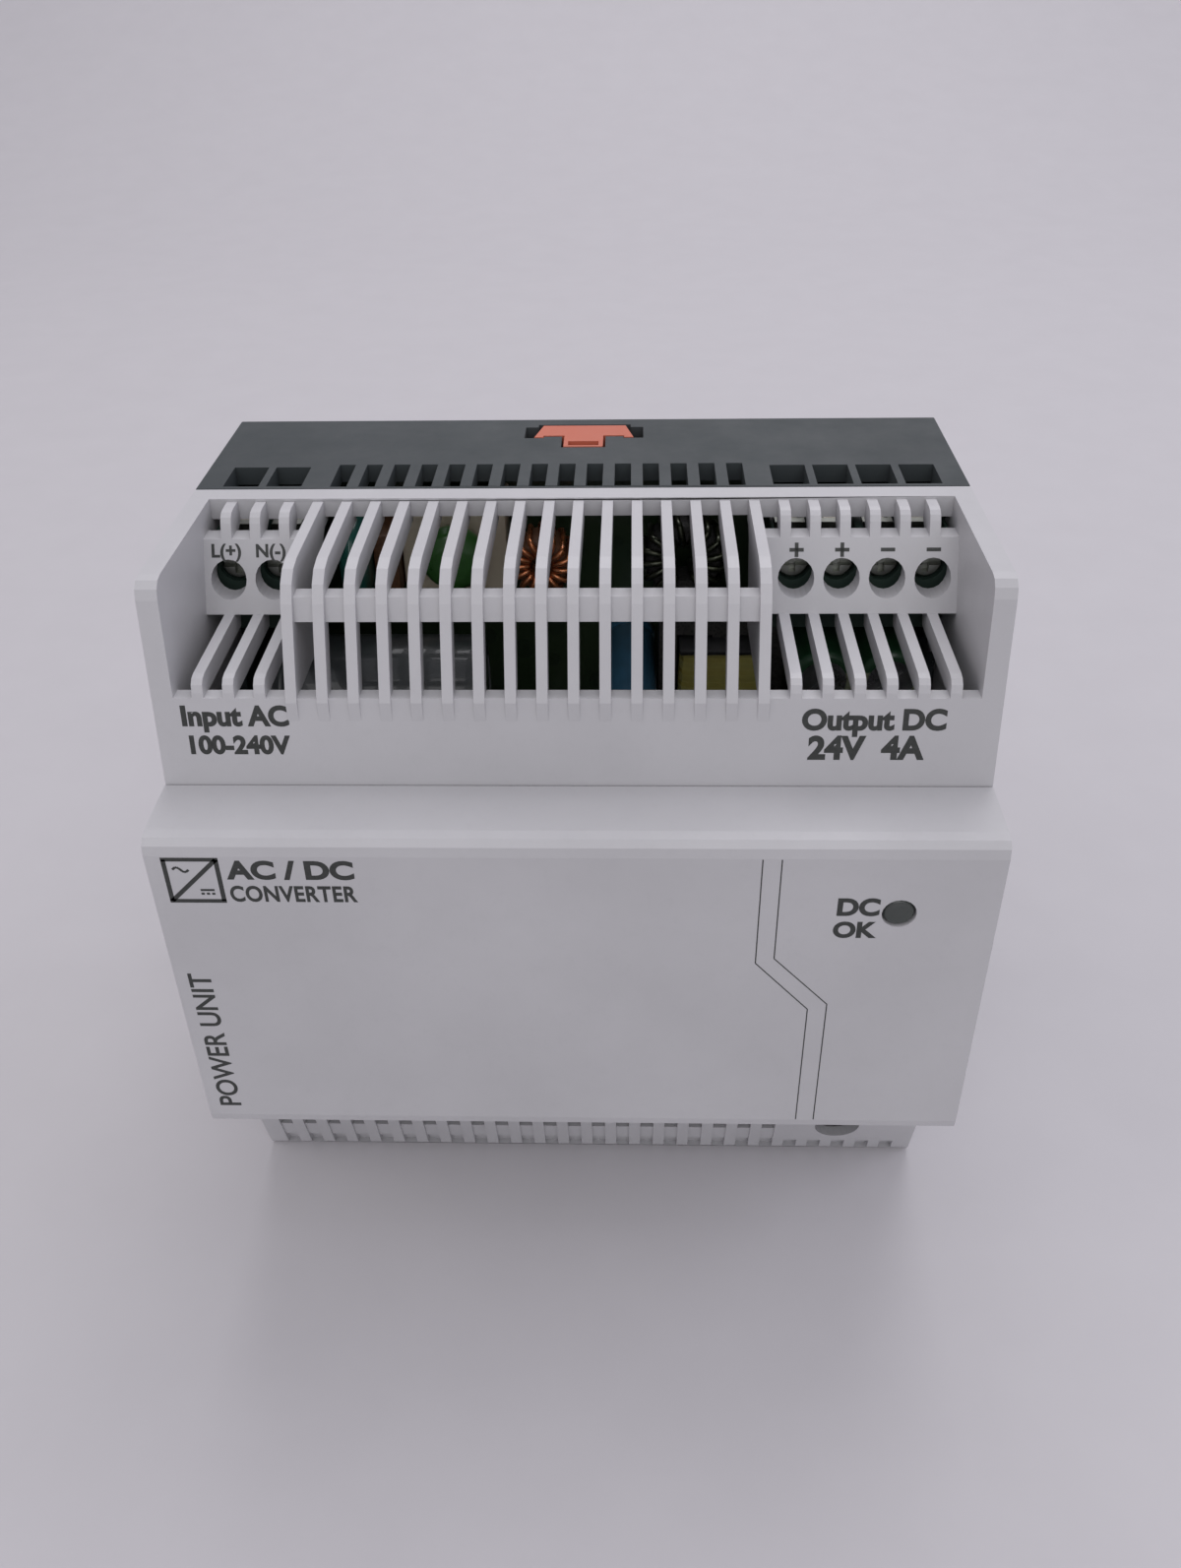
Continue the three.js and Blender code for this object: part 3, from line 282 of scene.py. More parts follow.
def sintered_ferrite(name, color):
    """Sintered ferrite: dull and finely pored."""
    shader = Shader(name, 0.6, metallic=0.15)
    pores = shader.cells(2600)
    shader.color(shader.ramp(pores, (0.1, shade(color, 0.6)), (0.6, shade(color, 1.35))))
    shader.roughness(shader.levels(pores, 0.75, 0.5))
    shader.bump(pores, 0.03 * MM, 0.5)
    return shader.material


def enamelled_wire(name, color):
    """Copper wire under varnish of uneven thickness."""
    shader = Shader(name, 0.26, metallic=0.85, coat=0.6)
    varnish = shader.noise(600, 4, 0.6)
    shader.color(shader.ramp(varnish, (0.3, shade(color, 0.7)), (0.7, shade(color, 1.2))))
    shader.roughness(shader.levels(varnish, 0.18, 0.4))
    shader.bump(varnish, 0.01 * MM, 0.4)
    return shader.material


def wound_tape(name, color):
    """Polyester tape: layered edges, a slight amber tone where the layers are thick."""
    shader = Shader(name, 0.3, coat=0.45)
    layers = shader.bands(190, "Z", 0.6)
    amber = (color[0] * 0.78, color[1] * 0.62, color[2] * 0.4)
    tone = shader.blend(color, amber, shader.levels(shader.noise(160, 4), 0.0, 0.7, 0.4, 0.7))
    shader.color(shader.blend(tone, shade(color, 0.8), shader.levels(layers, 0.0, 0.35, 0.7, 1.0)))
    shader.roughness(shader.levels(layers, 0.24, 0.38))
    shader.bump(layers, 0.03 * MM, 0.4)
    return shader.material


def plated_metal(name, color, roughness=0.28, grain=(900, 900, 90)):
    """Plated or mill-finish metal with fine drawn lines and dull patches."""
    shader = Shader(name, roughness, metallic=1.0)
    lines = shader.noise(1.0, 4, 0.6, shader.stretched(grain))
    patches = shader.noise(240, 4, 0.6)
    shader.color(shader.ramp(patches, (0.3, shade(color, 0.82)), (0.7, shade(color, 1.08))))
    shader.roughness(shader.levels(patches, roughness - 0.08, roughness + 0.14))
    shader.bump(lines, 0.01 * MM, 0.5)
    return shader.material


def fired_ceramic(name, color):
    """Glazed ceramic with a cloudy body."""
    shader = Shader(name, 0.4, coat=0.2)
    body = shader.noise(1300, 4, 0.6)
    shader.color(shader.ramp(body, (0.3, shade(color, 0.88)), (0.7, shade(color, 1.06))))
    shader.roughness(shader.levels(body, 0.32, 0.5))
    shader.bump(body, 0.015 * MM, 0.5)
    return shader.material


LIGHT_PLASTIC = moulded_plastic("light_grey_moulding", (0.475, 0.47, 0.485), 0.46)
DARK_PLASTIC = moulded_plastic("dark_grey_moulding", (0.034, 0.042, 0.045), 0.62, mottle=0.08)
ORANGE_PLASTIC = moulded_plastic(
    "orange_moulding", (0.50, 0.125, 0.07), 0.5, grain=3800, depth=0.006, mottle=0.06
)
TERMINAL_PLASTIC = moulded_plastic("terminal_moulding", (0.030, 0.052, 0.042), 0.45, mottle=0.12)
INK = printed_ink("print_ink", (0.022, 0.024, 0.022))
LIGHT_PIPE = light_pipe_plastic("light_pipe", (0.075, 0.09, 0.08))
LED_RESIN = lacquer("led_resin", (0.07, 0.20, 0.08), 0.2)
BOARD_MASK = solder_mask("board_mask", (0.016, 0.033, 0.014), (0.024, 0.045, 0.018), (0.035, 0.044, 0.020))
INSULATION = moulded_plastic("insulation_film", (0.020, 0.022, 0.020), 0.3, mottle=0.15)
NICKEL = plated_metal("nickel_plating", (0.33, 0.34, 0.31), 0.34)
TINNED = plated_metal("tinned_copper", (0.60, 0.56, 0.48), 0.32)
ALUMINIUM = plated_metal("mill_aluminium", (0.55, 0.56, 0.57), 0.38)
CAN_METAL = plated_metal("can_aluminium", (0.66, 0.67, 0.68), 0.26)
SOLDER = plated_metal("solder", (0.62, 0.62, 0.60), 0.22, grain=(500, 500, 500))
FERRITE = sintered_ferrite("ferrite", (0.030, 0.029, 0.027))
COPPER_WIRE = enamelled_wire("copper_enamel", (0.62, 0.22, 0.085))
GREEN_WIRE = enamelled_wire("green_enamel", (0.055, 0.062, 0.036))
YELLOW_TAPE = wound_tape("yellow_tape", (0.36, 0.34, 0.10))
BROWN_EPOXY = cast_epoxy("brown_epoxy", (0.12, 0.055, 0.025))
BLACK_EPOXY = cast_epoxy("black_epoxy", (0.010, 0.010, 0.011))
BEIGE_PLASTIC = moulded_plastic("beige_box", (0.70, 0.62, 0.48), 0.42, mottle=0.08)
TEAL_LACQUER = lacquer("teal_lacquer", (0.025, 0.14, 0.115))
GREEN_LACQUER = lacquer("green_lacquer", (0.035, 0.13, 0.025))
BLUE_LACQUER = lacquer("blue_lacquer", (0.02, 0.09, 0.28))
CERAMIC = fired_ceramic("fuse_ceramic", (0.60, 0.58, 0.50))
WHITE_NYLON = moulded_plastic("white_nylon", (0.55, 0.54, 0.50), 0.4, mottle=0.06)


# ------------------------------------------------------------------ mesh building

def in_mm(profile):
    """Profile points given in millimetres, in metres."""
    return [(radius * MM, height * MM) for radius, height in profile]


def shade_smooth(mesh, smooth_below=None):
    """Smooth faces, with hard edges where the faces turn by more than smooth_below degrees."""
    mesh.polygons.foreach_set("use_smooth", [True] * len(mesh.polygons))
    if smooth_below:
        mesh.set_sharp_from_angle(angle=math.radians(smooth_below))


def evaluated_mesh(holder):
    """A new mesh of the object as its modifiers or curve settings make it."""
    bpy.context.view_layer.update()
    return bpy.data.meshes.new_from_object(holder.evaluated_get(bpy.context.evaluated_depsgraph_get()))


def link_mesh(name, mesh, material, body=HOUSING, smooth_below=SOFT_BELOW):
    """Puts a mesh in the scene as a visible piece that rides on a body."""
    piece = bpy.data.objects.new(name, mesh)
    scene.collection.objects.link(piece)
    mesh.materials.append(material)
    shade_smooth(mesh, smooth_below)
    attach(piece, body)
    return piece


def finished_mesh(name, build):
    """A mesh that build fills through bmesh, with its faces pointing out."""
    bm = bmesh.new()
    build(bm)
    bmesh.ops.recalc_face_normals(bm, faces=bm.faces)
    mesh = bpy.data.meshes.new(name)
    bm.to_mesh(mesh)
    bm.free()
    return mesh


def revolve(bm, profile, centre, axis, segments=40):
    """Adds the solid of [radius, height] points turned about an axis through centre."""
    turn = axis.to_track_quat("Z", "Y").to_matrix()
    rings = []
    for radius, height in profile:
        if radius == 0:
            rings.append([bm.verts.new(centre + turn @ Vector((0, 0, height)))])
            continue
        angles = (2 * math.pi * k / segments for k in range(segments))
        rings.append([
            bm.verts.new(centre + turn @ Vector((radius * math.cos(a), radius * math.sin(a), height)))
            for a in angles
        ])
    for first, second in zip(rings, rings[1:]):
        for k in range(segments):
            corners = [first[k % len(first)], first[(k + 1) % len(first)]]
            corners += [second[(k + 1) % len(second)], second[k % len(second)]]
            distinct = list(dict.fromkeys(corners))
            if len(distinct) > 2:
                bm.faces.new(distinct)


def rounded(profile, setback):
    """The profile with each inner corner rounded, setback from the corner point."""
    steps = 3
    points = [Vector(profile[0])]
    for before, corner, after in zip(profile, profile[1:], profile[2:]):
        corner = Vector(corner)
        reach = [min(setback, (Vector(p) - corner).length * 0.45) for p in (before, after)]
        start = corner + (Vector(before) - corner).normalized() * reach[0]
        end = corner + (Vector(after) - corner).normalized() * reach[1]
        for k in range(steps + 1):
            t = k / steps
            points.append((1 - t) ** 2 * start + 2 * t * (1 - t) * corner + t * t * end)
    points.append(Vector(profile[-1]))
    return [tuple(p) for p in points]


def turned(name, profile, centre, axis, material, setback=0.0, segments=40):
    """One turned piece, its profile's corners rounded if a setback is given."""
    shape = rounded(profile, setback) if setback else profile
    mesh = finished_mesh(name, lambda bm: revolve(bm, shape, centre, axis, segments))
    return link_mesh(name, mesh, material)


def add_block(bm, low, high):
    """Adds a block from its low to its high corner."""
    low, high = Vector(low), Vector(high)
    for vertex in bmesh.ops.create_cube(bm, size=1)["verts"]:
        vertex.co = Vector(l + (c + 0.5) * (h - l) for l, h, c in zip(low, high, vertex.co))


def add_bar(bm, corners):
    """Adds a solid on eight corners, listed end by end, side by side, each from low to high."""
    for vertex, corner in zip(bmesh.ops.create_cube(bm, size=1)["verts"], corners):
        vertex.co = corner


def blocks(name, boxes, material, edge):
    """One piece of bevelled blocks, each from its low to its high corner."""

    def build(bm):
        for low, high in boxes:
            add_block(bm, low, high)
        bmesh.ops.bevel(
            bm, geom=list(bm.edges), offset=edge, segments=2, affect="EDGES", profile=0.5, clamp_overlap=True
        )

    return link_mesh(name, finished_mesh(name, build), material)


def wire(name, points, radius, material):
    """A round wire along points, as a mesh with capped ends."""
    curve = bpy.data.curves.new(name, "CURVE")
    curve.dimensions = "3D"
    curve.bevel_depth = radius
    curve.bevel_resolution = 3
    curve.use_fill_caps = True
    spline = curve.splines.new("POLY")
    spline.points.add(len(points) - 1)
    for point, place in zip(spline.points, points):
        point.co = (*place, 1)
    holder = bpy.data.objects.new(name, curve)
    scene.collection.objects.link(holder)
    mesh = evaluated_mesh(holder)
    bpy.data.objects.remove(holder)
    bpy.data.curves.remove(curve)
    return link_mesh(name, mesh, material, smooth_below=ROUND_BELOW)


def node_frame(node):
    """Low corner, high corner and centre of a CAD node, as vectors."""
    low, high = (Vector(c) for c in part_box(node))
    return low, high, (low + high) / 2


# ------------------------------------------------------------------ housings, kept from the CAD

def soften(node, material, width, segments=2):
    """Rounds the edges of a CAD node and gives it its material."""
    flat_below, sharp_above = 0.6, 32  # degrees: faces that merge, and edges that are rounded
    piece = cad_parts[node]
    piece.data.materials.clear()
    piece.data.materials.append(material)
    shade_smooth(piece.data)
    flatten = piece.modifiers.new("flatten", "DECIMATE")
    flatten.decimate_type = "DISSOLVE"
    flatten.angle_limit = math.radians(flat_below)
    bevel = piece.modifiers.new("edges", "BEVEL")
    bevel.width = width
    bevel.segments = segments
    bevel.limit_method = "ANGLE"
    bevel.angle_limit = math.radians(sharp_above)
    bevel.use_clamp_overlap = True
    bevel.harden_normals = True
    bevel.miter_outer = "MITER_ARC"


soften("rear_housing", DARK_PLASTIC, 0.22 * MM)
soften("front_housing", LIGHT_PLASTIC, 0.16 * MM)
soften("front_cap", LIGHT_PLASTIC, 0.45 * MM, 3)
soften("upper_snap_foot", ORANGE_PLASTIC, 0.2 * MM)
soften("lower_snap_foot", ORANGE_PLASTIC, 0.2 * MM)
soften("input_terminal_block", TERMINAL_PLASTIC, 0.12 * MM)
soften("output_terminal_block", TERMINAL_PLASTIC, 0.12 * MM)
soften("circuit_board", BOARD_MASK, 0.08 * MM)
soften("insulating_sheet", INSULATION, 0.04 * MM)


# ------------------------------------------------------------------ prints on the housing

def slope_frame(line, x, z):
    """Placing matrix at x and height z on a sloping face: its X runs along +X and its Y up the slope."""
    top, foot = line
    slope = (top[1] - foot[1]) / math.dist(top, foot)
    up = Vector((0, top[0] - foot[0], top[1] - foot[1])).normalized()
    out = AXIS_X.cross(up)
    place = Vector((x, foot[0], foot[1])) + up * ((z - foot[1]) / slope)
    return Matrix.Translation(place * MM) @ Matrix((AXIS_X, up, out)).transposed().to_4x4()


def cap_frame(x, z, turn=0.0):
    """Placing matrix at x and height z on the front of the cap, turned about its normal."""
    face_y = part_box("front_cap")[0][1] / MM
    base = Matrix((AXIS_X, AXIS_Z, -AXIS_Y)).transposed().to_4x4()
    return Matrix.Translation(Vector((x, face_y, z)) * MM) @ base @ Matrix.Rotation(turn, 4, "Z")


INK_HEIGHT = 0.015  # how far the print stands on the face, in mm
BOLD = 0.045  # how far the outlines of bold lettering are grown, in parts of its type size
STRIPE_WIDTH = 0.13


def printed_text(name, words, placing, width, weight=BOLD, spacing=1.0, tall=1.0):
    """Lettering width mm wide from placing's origin, its baseline on placing's X."""
    text = bpy.data.curves.new(name, "FONT")
    text.body = words
    text.offset = weight
    text.space_character = spacing
    text.extrude = 0.5
    text.resolution_u = 6
    holder = bpy.data.objects.new(name, text)
    scene.collection.objects.link(holder)
    mesh = evaluated_mesh(holder)
    bpy.data.objects.remove(holder)
    bpy.data.curves.remove(text)
    left = min(v.co.x for v in mesh.vertices)
    right = max(v.co.x for v in mesh.vertices)
    scale = width * MM / (right - left)
    for v in mesh.vertices:
        v.co = Vector(((v.co.x - left) * scale, v.co.y * scale * tall, (v.co.z + 0.4) * INK_HEIGHT * MM))
    mesh.transform(placing)
    return link_mesh(name, mesh, INK)


def printed_bars(name, bars, placing):
    """Straight ink lines, each [x0, y0, x1, y1, width] in mm on the placing's plane."""

    def build(bm):
        for x0, y0, x1, y1, width in bars:
            along = Vector((x1 - x0, y1 - y0, 0))
            side = Vector((-along.y, along.x, 0)).normalized() * width / 2
            ends = [Vector((x0, y0, 0)), Vector((x1, y1, 0))]
            lifts = [Vector((0, 0, -0.2 * INK_HEIGHT)), Vector((0, 0, INK_HEIGHT))]
            corners = [end + s + lift for end in ends for s in (-side, side) for lift in lifts]
            add_bar(bm, [placing @ (corner * MM) for corner in corners])

    return link_mesh(name, finished_mesh(name, build), INK)


def stripe_path(points, width):
    """Ink bars along a chain of points, overlapping a little at the bends."""
    return [(*a, *b, width) for a, b in zip(points, points[1:])]


def print_front():
    """Pinstripes, lamp label and upright title on the front of the cap."""
    origin = cap_frame(0, 0)
    left_line = [(19.7, 65.0), (19.7, 50.6), (25.9, 43.7), (25.9, 25.4)]
    right_line = [(21.7, 65.0), (21.7, 51.3), (28.0, 44.5), (28.0, 25.4)]
    printed_bars("pinstripe_left", stripe_path(left_line, STRIPE_WIDTH), origin)
    printed_bars("pinstripe_right", stripe_path(right_line, STRIPE_WIDTH), origin)
    printed_text("label_dc", "DC", cap_frame(27.9, 57.6), 4.5)
    printed_text("label_ok", "OK", cap_frame(27.7, 54.5), 4.7)
    printed_text("label_power_unit", "POWER UNIT", cap_frame(-41.0, 26.9, math.pi / 2), 21.6, 0.016)
    print_converter_symbol()


def print_converter_symbol():
    """The general sign for an AC to DC converter, with the plain words beside it."""
    left, base, side, line, thin = -43.0, 59.1, 5.6, 0.5, 0.28
    right, top = left + side, base + side
    frame_bars = [
        (left - line / 2, base, right + line / 2, base, line),
        (left - line / 2, top, right + line / 2, top, line),
        (left, base, left, top, line),
        (right, base, right, top, line),
        (left, base, right, top, line),
        (right - 2.3, base + 1.5, right - 0.8, base + 1.5, thin),
        (right - 2.3, base + 1.0, right - 1.95, base + 1.0, thin),
        (right - 1.72, base + 1.0, right - 1.38, base + 1.0, thin),
        (right - 1.15, base + 1.0, right - 0.8, base + 1.0, thin),
    ]
    start, length, height, steps = left + 0.8, 1.7, 0.32, 10
    wave = [
        (start + length * k / steps, top - 1.35 + height * math.sin(2 * math.pi * k / steps))
        for k in range(steps + 1)
    ]
    printed_bars("converter_symbol", frame_bars + stripe_path(wave, thin), cap_frame(0, 0))
    printed_text("label_ac_dc", "AC / DC", cap_frame(right + 0.8, base + 3.1), 13.6, tall=0.9)
    printed_text("label_converter", "CONVERTER", cap_frame(right + 0.8, base), 13.6, 0.03, 1.06, tall=1.3)


def print_shoulder():
    """Generic ratings on the shoulder."""
    printed_text("label_input", "Input AC", slope_frame(SHOULDER, -42.1, 74.35), 11.6)
    printed_text("label_input_range", "100-240V", slope_frame(SHOULDER, -41.6, 71.1), 11.0)
    printed_text("label_output", "Output DC", slope_frame(SHOULDER, 24.1, 73.95), 15.2)
    printed_text("label_output_rating", "24V  4A", slope_frame(SHOULDER, 24.9, 70.6), 12.4)


def print_terminal_labels():
    """Pole names above the inputs, plus and minus signs above the outputs."""
    screw_x = [node_frame(f"terminal_screw_{k}")[2].x / MM for k in range(1, 7)]
    for x, number, words in zip(screw_x[:2], "12", ("L(+)", "N(-)")):
        printed_text("label_input_" + number, words, slope_frame(PANEL, x - 1.85, 85.3), 3.4, 0.035)
    arm, line = 0.8, 0.42
    for k, x in enumerate(screw_x[2:]):
        bars = [(-arm, 0, arm, 0, line)]
        if k < 2:
            bars.append((0, -arm, 0, arm, line))
        printed_bars(f"label_output_{k + 1}", bars, slope_frame(PANEL, x, 85.85))


print_front()
print_shoulder()
print_terminal_labels()


# ------------------------------------------------------------------ status light

def build_status_light():
    """Domed light guide with a collar and a long stem, and the round LED that it stands on."""
    low, _, middle = node_frame("light_guide")
    centre = Vector((middle.x, low.y, middle.z))
    profile = [
        (0, 0.12), (0.9, 0.1), (1.45, 0.0), (1.68, 0.25), (1.68, 2.3), (2.45, 2.4), (2.45, 3.3),
        (1.5, 3.5), (1.3, 42.8), (0, 43.1),
    ]
    guide = turned(
        "light_guide_lens", in_mm(profile), centre, AXIS_Y, LIGHT_PIPE, setback=0.12 * MM,
    )
    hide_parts("light_guide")
    low, _, middle = node_frame("status_led")
    centre = Vector((middle.x, low.y, middle.z))
    profile = [(0, 0), (0.7, 0.12), (1.2, 0.5), (1.5, 1.3), (1.5, 3.7), (1.9, 3.7), (1.9, 5.2), (0, 5.2)]
    lamp = turned(
        "status_led_lens", in_mm(profile), centre, AXIS_Y, LED_RESIN, setback=0.15 * MM,
    )
    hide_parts("status_led")


build_status_light()


# ------------------------------------------------------------------ screw terminals

def build_screw(number):
    """Cheese-head clamping screw: crossed recess over a slot, rolled thread, blunt point."""
    node = f"terminal_screw_{number}"
    low, high, middle = node_frame(node)
    head, shank, length = 1.85, 1.2, (high.y - low.y) / MM
    pitch, thread_from, groove = 0.5, 2.1, 0.14
    profile = [(0, 1.0), (0.5, 0.95), (0.52, 0.02)]
    profile += [(head - 0.25, 0), (head, 0.25), (head, 1.65), (head - 0.15, 1.8)]
    profile += [(shank - groove, 1.85), (shank - groove, thread_from)]
    turns = int((length - thread_from - 0.3) / pitch)
    for k in range(turns):
        at = thread_from + k * pitch
        profile += [(shank, at + 0.18), (shank, at + 0.3), (shank - groove, at + 0.46)]
    profile += [(shank - 0.35, length - 0.02), (0, length)]
    centre = Vector((middle.x, low.y, middle.z))

    mesh = finished_mesh(node, lambda bm: revolve(bm, in_mm(profile), centre, AXIS_Y, 36))
    piece = link_mesh(f"{node}_turned", mesh, NICKEL, node)
    slot_half, recess_half, depth = (2.2, 0.36), (0.36, 1.15), 0.85
    for k, half in enumerate((slot_half, recess_half)):
        add_cut(piece, f"{node}_slot_{k}", centre, half, depth)
    apply_cuts(piece)
    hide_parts(node)


def add_cut(piece, name, centre, half, depth):
    """A boolean cutter for a straight slot across the head, depth mm deep."""
    mesh = finished_mesh(name, lambda bm: add_block(
        bm,
        centre + Vector((-half[0], -1, -half[1])) * MM,
        centre + Vector((half[0], depth, half[1])) * MM,
    ))
    cutter = bpy.data.objects.new(name, mesh)
    scene.collection.objects.link(cutter)
    cut = piece.modifiers.new(name, "BOOLEAN")
    cut.operation = "DIFFERENCE"
    cut.solver = "EXACT"
    cut.object = cutter


def apply_cuts(piece):
    """Bakes the boolean cuts into the mesh and removes their cutters."""
    cutters = [modifier.object for modifier in piece.modifiers]
    mesh = evaluated_mesh(piece)
    mesh.name = piece.name
    piece.modifiers.clear()
    piece.data = mesh
    shade_smooth(mesh, 30)
    for cutter in cutters:
        bpy.data.objects.remove(cutter)


for number in range(1, 7):
    build_screw(number)
    soften(f"terminal_cage_{number}", NICKEL, 0.1 * MM)
    soften(f"contact_bar_{number}", TINNED, 0.1 * MM)


# ------------------------------------------------------------------ board parts

BOARD_LOW, BOARD_HIGH, _ = node_frame("circuit_board")
LEAD_END = BOARD_HIGH.y + 0.9 * MM
PIN_END = BOARD_HIGH.y + 0.8 * MM
solder_points = []  # x, z and radius in mm of each wire or pin that comes through the board


def leads(name, places, start_y, radius=0.32):
    """Straight leads from a part's base through the board, as one piece."""

    def build(bm):
        for x, z in places:
            solder_points.append((x, z, radius))
            start, end = Vector((x, start_y, z)), Vector((x, LEAD_END, z))
            length = end.y - start.y
            rod = radius * MM
            profile = [(0, 0), (rod, 0), (rod, length - 0.1 * MM), (0.6 * radius * MM, length), (0, length)]
            revolve(bm, profile, start, AXIS_Y, 12)

    link_mesh(name, finished_mesh(name, build), TINNED)


def electrolytic(node, color_name, color, stripe):
    """Aluminium can in a printed sleeve, with a rolled groove and a vent cross."""
    low, high, middle = node_frame(node)
    size = high - low
    lying = size.x > size.y
    axis = AXIS_X if lying else AXIS_Y
    radius = (size.z / 2) / MM
    length = (size.x if lying else size.y) / MM
    near = Vector((high.x if lying else middle.x, middle.y if lying else low.y, middle.z))
    inward = -axis if lying else axis
    waist = radius - 0.45
    sleeve_profile = [
        (radius - 1.1, 0.0), (radius - 0.5, 0.0), (radius, 0.55), (radius, length - 3.3),
        (waist, length - 2.7), (waist, length - 2.2), (radius, length - 1.6), (radius, length - 0.2),
        (radius - 0.8, length - 0.05), (radius - 0.9, length - 0.4), (radius - 1.1, 0.3), (radius - 1.1, 0.0),
    ]
    z_axis = 2
    stripe_edges = (middle.z - 0.25 * size.z, middle.z + 0.16 * size.z)
    wrap = sleeve(color_name + "_" + node, color, stripe, z_axis, stripe_edges)
    shell = turned(
        node + "_sleeve", in_mm(sleeve_profile), near, inward, wrap, setback=0.2 * MM, segments=48,
    )
    top = radius - 1.0
    can_profile = [
        (0, 0.32), (top * 0.5, 0.3), (top - 0.15, 0.22), (top, 0.12), (top, 0.6),
        (top - 0.2, length - 0.5), (0, length - 0.4),
    ]
    turned(node + "_can", in_mm(can_profile), near, inward, CAN_METAL, segments=48)
    score_vent(node, near, inward, top * 0.62)
    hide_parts(node)


def score_vent(node, near, inward, reach):
    """The two scored lines of the pressure vent, pressed proud at their rims."""
    side = inward.cross(AXIS_Z)

    def build(bm):
        for angle in (math.pi / 4, -math.pi / 4):
            direction = (math.cos(angle) * AXIS_Z + math.sin(angle) * side).normalized()
            normal = direction.cross(inward)
            for offset in (-0.16, 0.16):
                centre = near + (0.29 * MM) * inward + normal * offset * MM
                ends = [centre - direction * reach * MM, centre + direction * reach * MM]
                add_bar(bm, [
                    end + normal * w * MM + inward * h * MM
                    for end in ends for w in (-0.06, 0.06) for h in (0.05, -0.05)
                ])

    link_mesh(node + "_vent", finished_mesh(node + "_vent", build), CAN_METAL)


def disc_part(node, name, material, axis):
    """A dipped disc: lens-shaped body with a thick rim and two run-downs over its leads."""
    low, high, middle = node_frame(node)
    half = (high - low) / 2
    radius = half.z / MM
    thick = (half.x if axis is AXIS_X else half.y) / MM
    profile = [
        (0, -thick), (radius * 0.55, -thick * 0.98), (radius * 0.86, -thick * 0.72), (radius, -thick * 0.2),
        (radius, thick * 0.2), (radius * 0.86, thick * 0.72), (radius * 0.55, thick * 0.98), (0, thick),
    ]
    run_down = [(0, 0), (0.9, 0), (0.8, 1.6), (0.45, 3.4), (0, 3.5)]

    def build(bm):
        revolve(bm, rounded(in_mm(profile), 0.4 * MM), middle, axis, 44)
        for sign in (-1, 1):
            if axis is AXIS_Y:
                start = middle + AXIS_X * sign * radius * 0.45 * MM
            else:
                start = middle + Vector((0, radius * 0.55 * MM, sign * 0.4 * radius * MM))
            revolve(bm, in_mm(run_down), start, AXIS_Y, 14)

    piece = link_mesh(name, finished_mesh(name, build), material, smooth_below=ROUND_BELOW)
    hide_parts(node)


# Inner over outer radius of each ring core.
INNER_SHARE = {"filter_choke_core": 1.9 / 3.2, "output_choke_core": 2.6 / 4.6, "line_choke_core": 4.6 / 8.2}


def toroid(core_node, winding_node, turns, wire_radius, material, coat=FERRITE):
    """A ferrite ring with its wire wound round it turn by turn, and both ends led to the board."""
    low, high, middle = node_frame(core_node)
    outer = (high.x - low.x) / 2
    half = (high.y - low.y) / 2
    inner = INNER_SHARE[core_node] * outer
    profile = [(inner, -half), (outer, -half), (outer, half), (inner, half), (inner, -half)]
    ring = rounded(profile, 0.5 * MM)
    ring.append(ring[0])
    core = turned(core_node + "_ring", ring, middle, AXIS_Y, coat, segments=48)
    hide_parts(core_node)
    clearance = wire_radius * 1.05
    wound_share, squareness = 0.9, 0.35
    points = []
    start, end = math.pi * (1.5 + (1 - wound_share)), math.pi * (3.5 - (1 - wound_share))
    total = turns * 16
    for k in range(total + 1):
        t = k / total
        around = start + (end - start) * t
        phase = 2 * math.pi * turns * t
        bulge = abs(math.cos(phase)) ** squareness * math.copysign(1, math.cos(phase))
        rise = abs(math.sin(phase)) ** squareness * math.copysign(1, math.sin(phase))
        radius = (inner + outer) / 2 + ((outer - inner) / 2 + clearance) * bulge
        height = (half + clearance) * rise
        points.append(middle + Vector((radius * math.cos(around), height, radius * math.sin(around))))
    for tip in (points[0], points[-1]):
        solder_points.append((tip.x, tip.z, wire_radius / MM))
    first = Vector((points[0].x, PIN_END, points[0].z))
    last = Vector((points[-1].x, PIN_END, points[-1].z))
    coil = wire(winding_node + "_wire", [first, *points, last], wire_radius, material)
    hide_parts(winding_node)


def build_capacitors():
    """The five electrolytic cans, and the leads of the standing ones."""
    electrolytic("bulk_capacitor", "grey_sleeve", (0.040, 0.046, 0.048), (0.13, 0.14, 0.14))
    electrolytic(
        "auxiliary_capacitor", "blue_sleeve", (0.035, 0.115, 0.19), (0.16, 0.24, 0.30)
    )
    output_capacitors = [f"output_capacitor_{k}" for k in (1, 2, 3)]
    for node in output_capacitors:
        electrolytic(node, "green_sleeve", (0.020, 0.065, 0.030), (0.22, 0.24, 0.16))
    for node in ("auxiliary_capacitor", *output_capacitors):
        _, high, middle = node_frame(node)
        leads(node + "_leads", [(middle.x - 1.8 * MM, middle.z), (middle.x + 1.8 * MM, middle.z)], high.y)


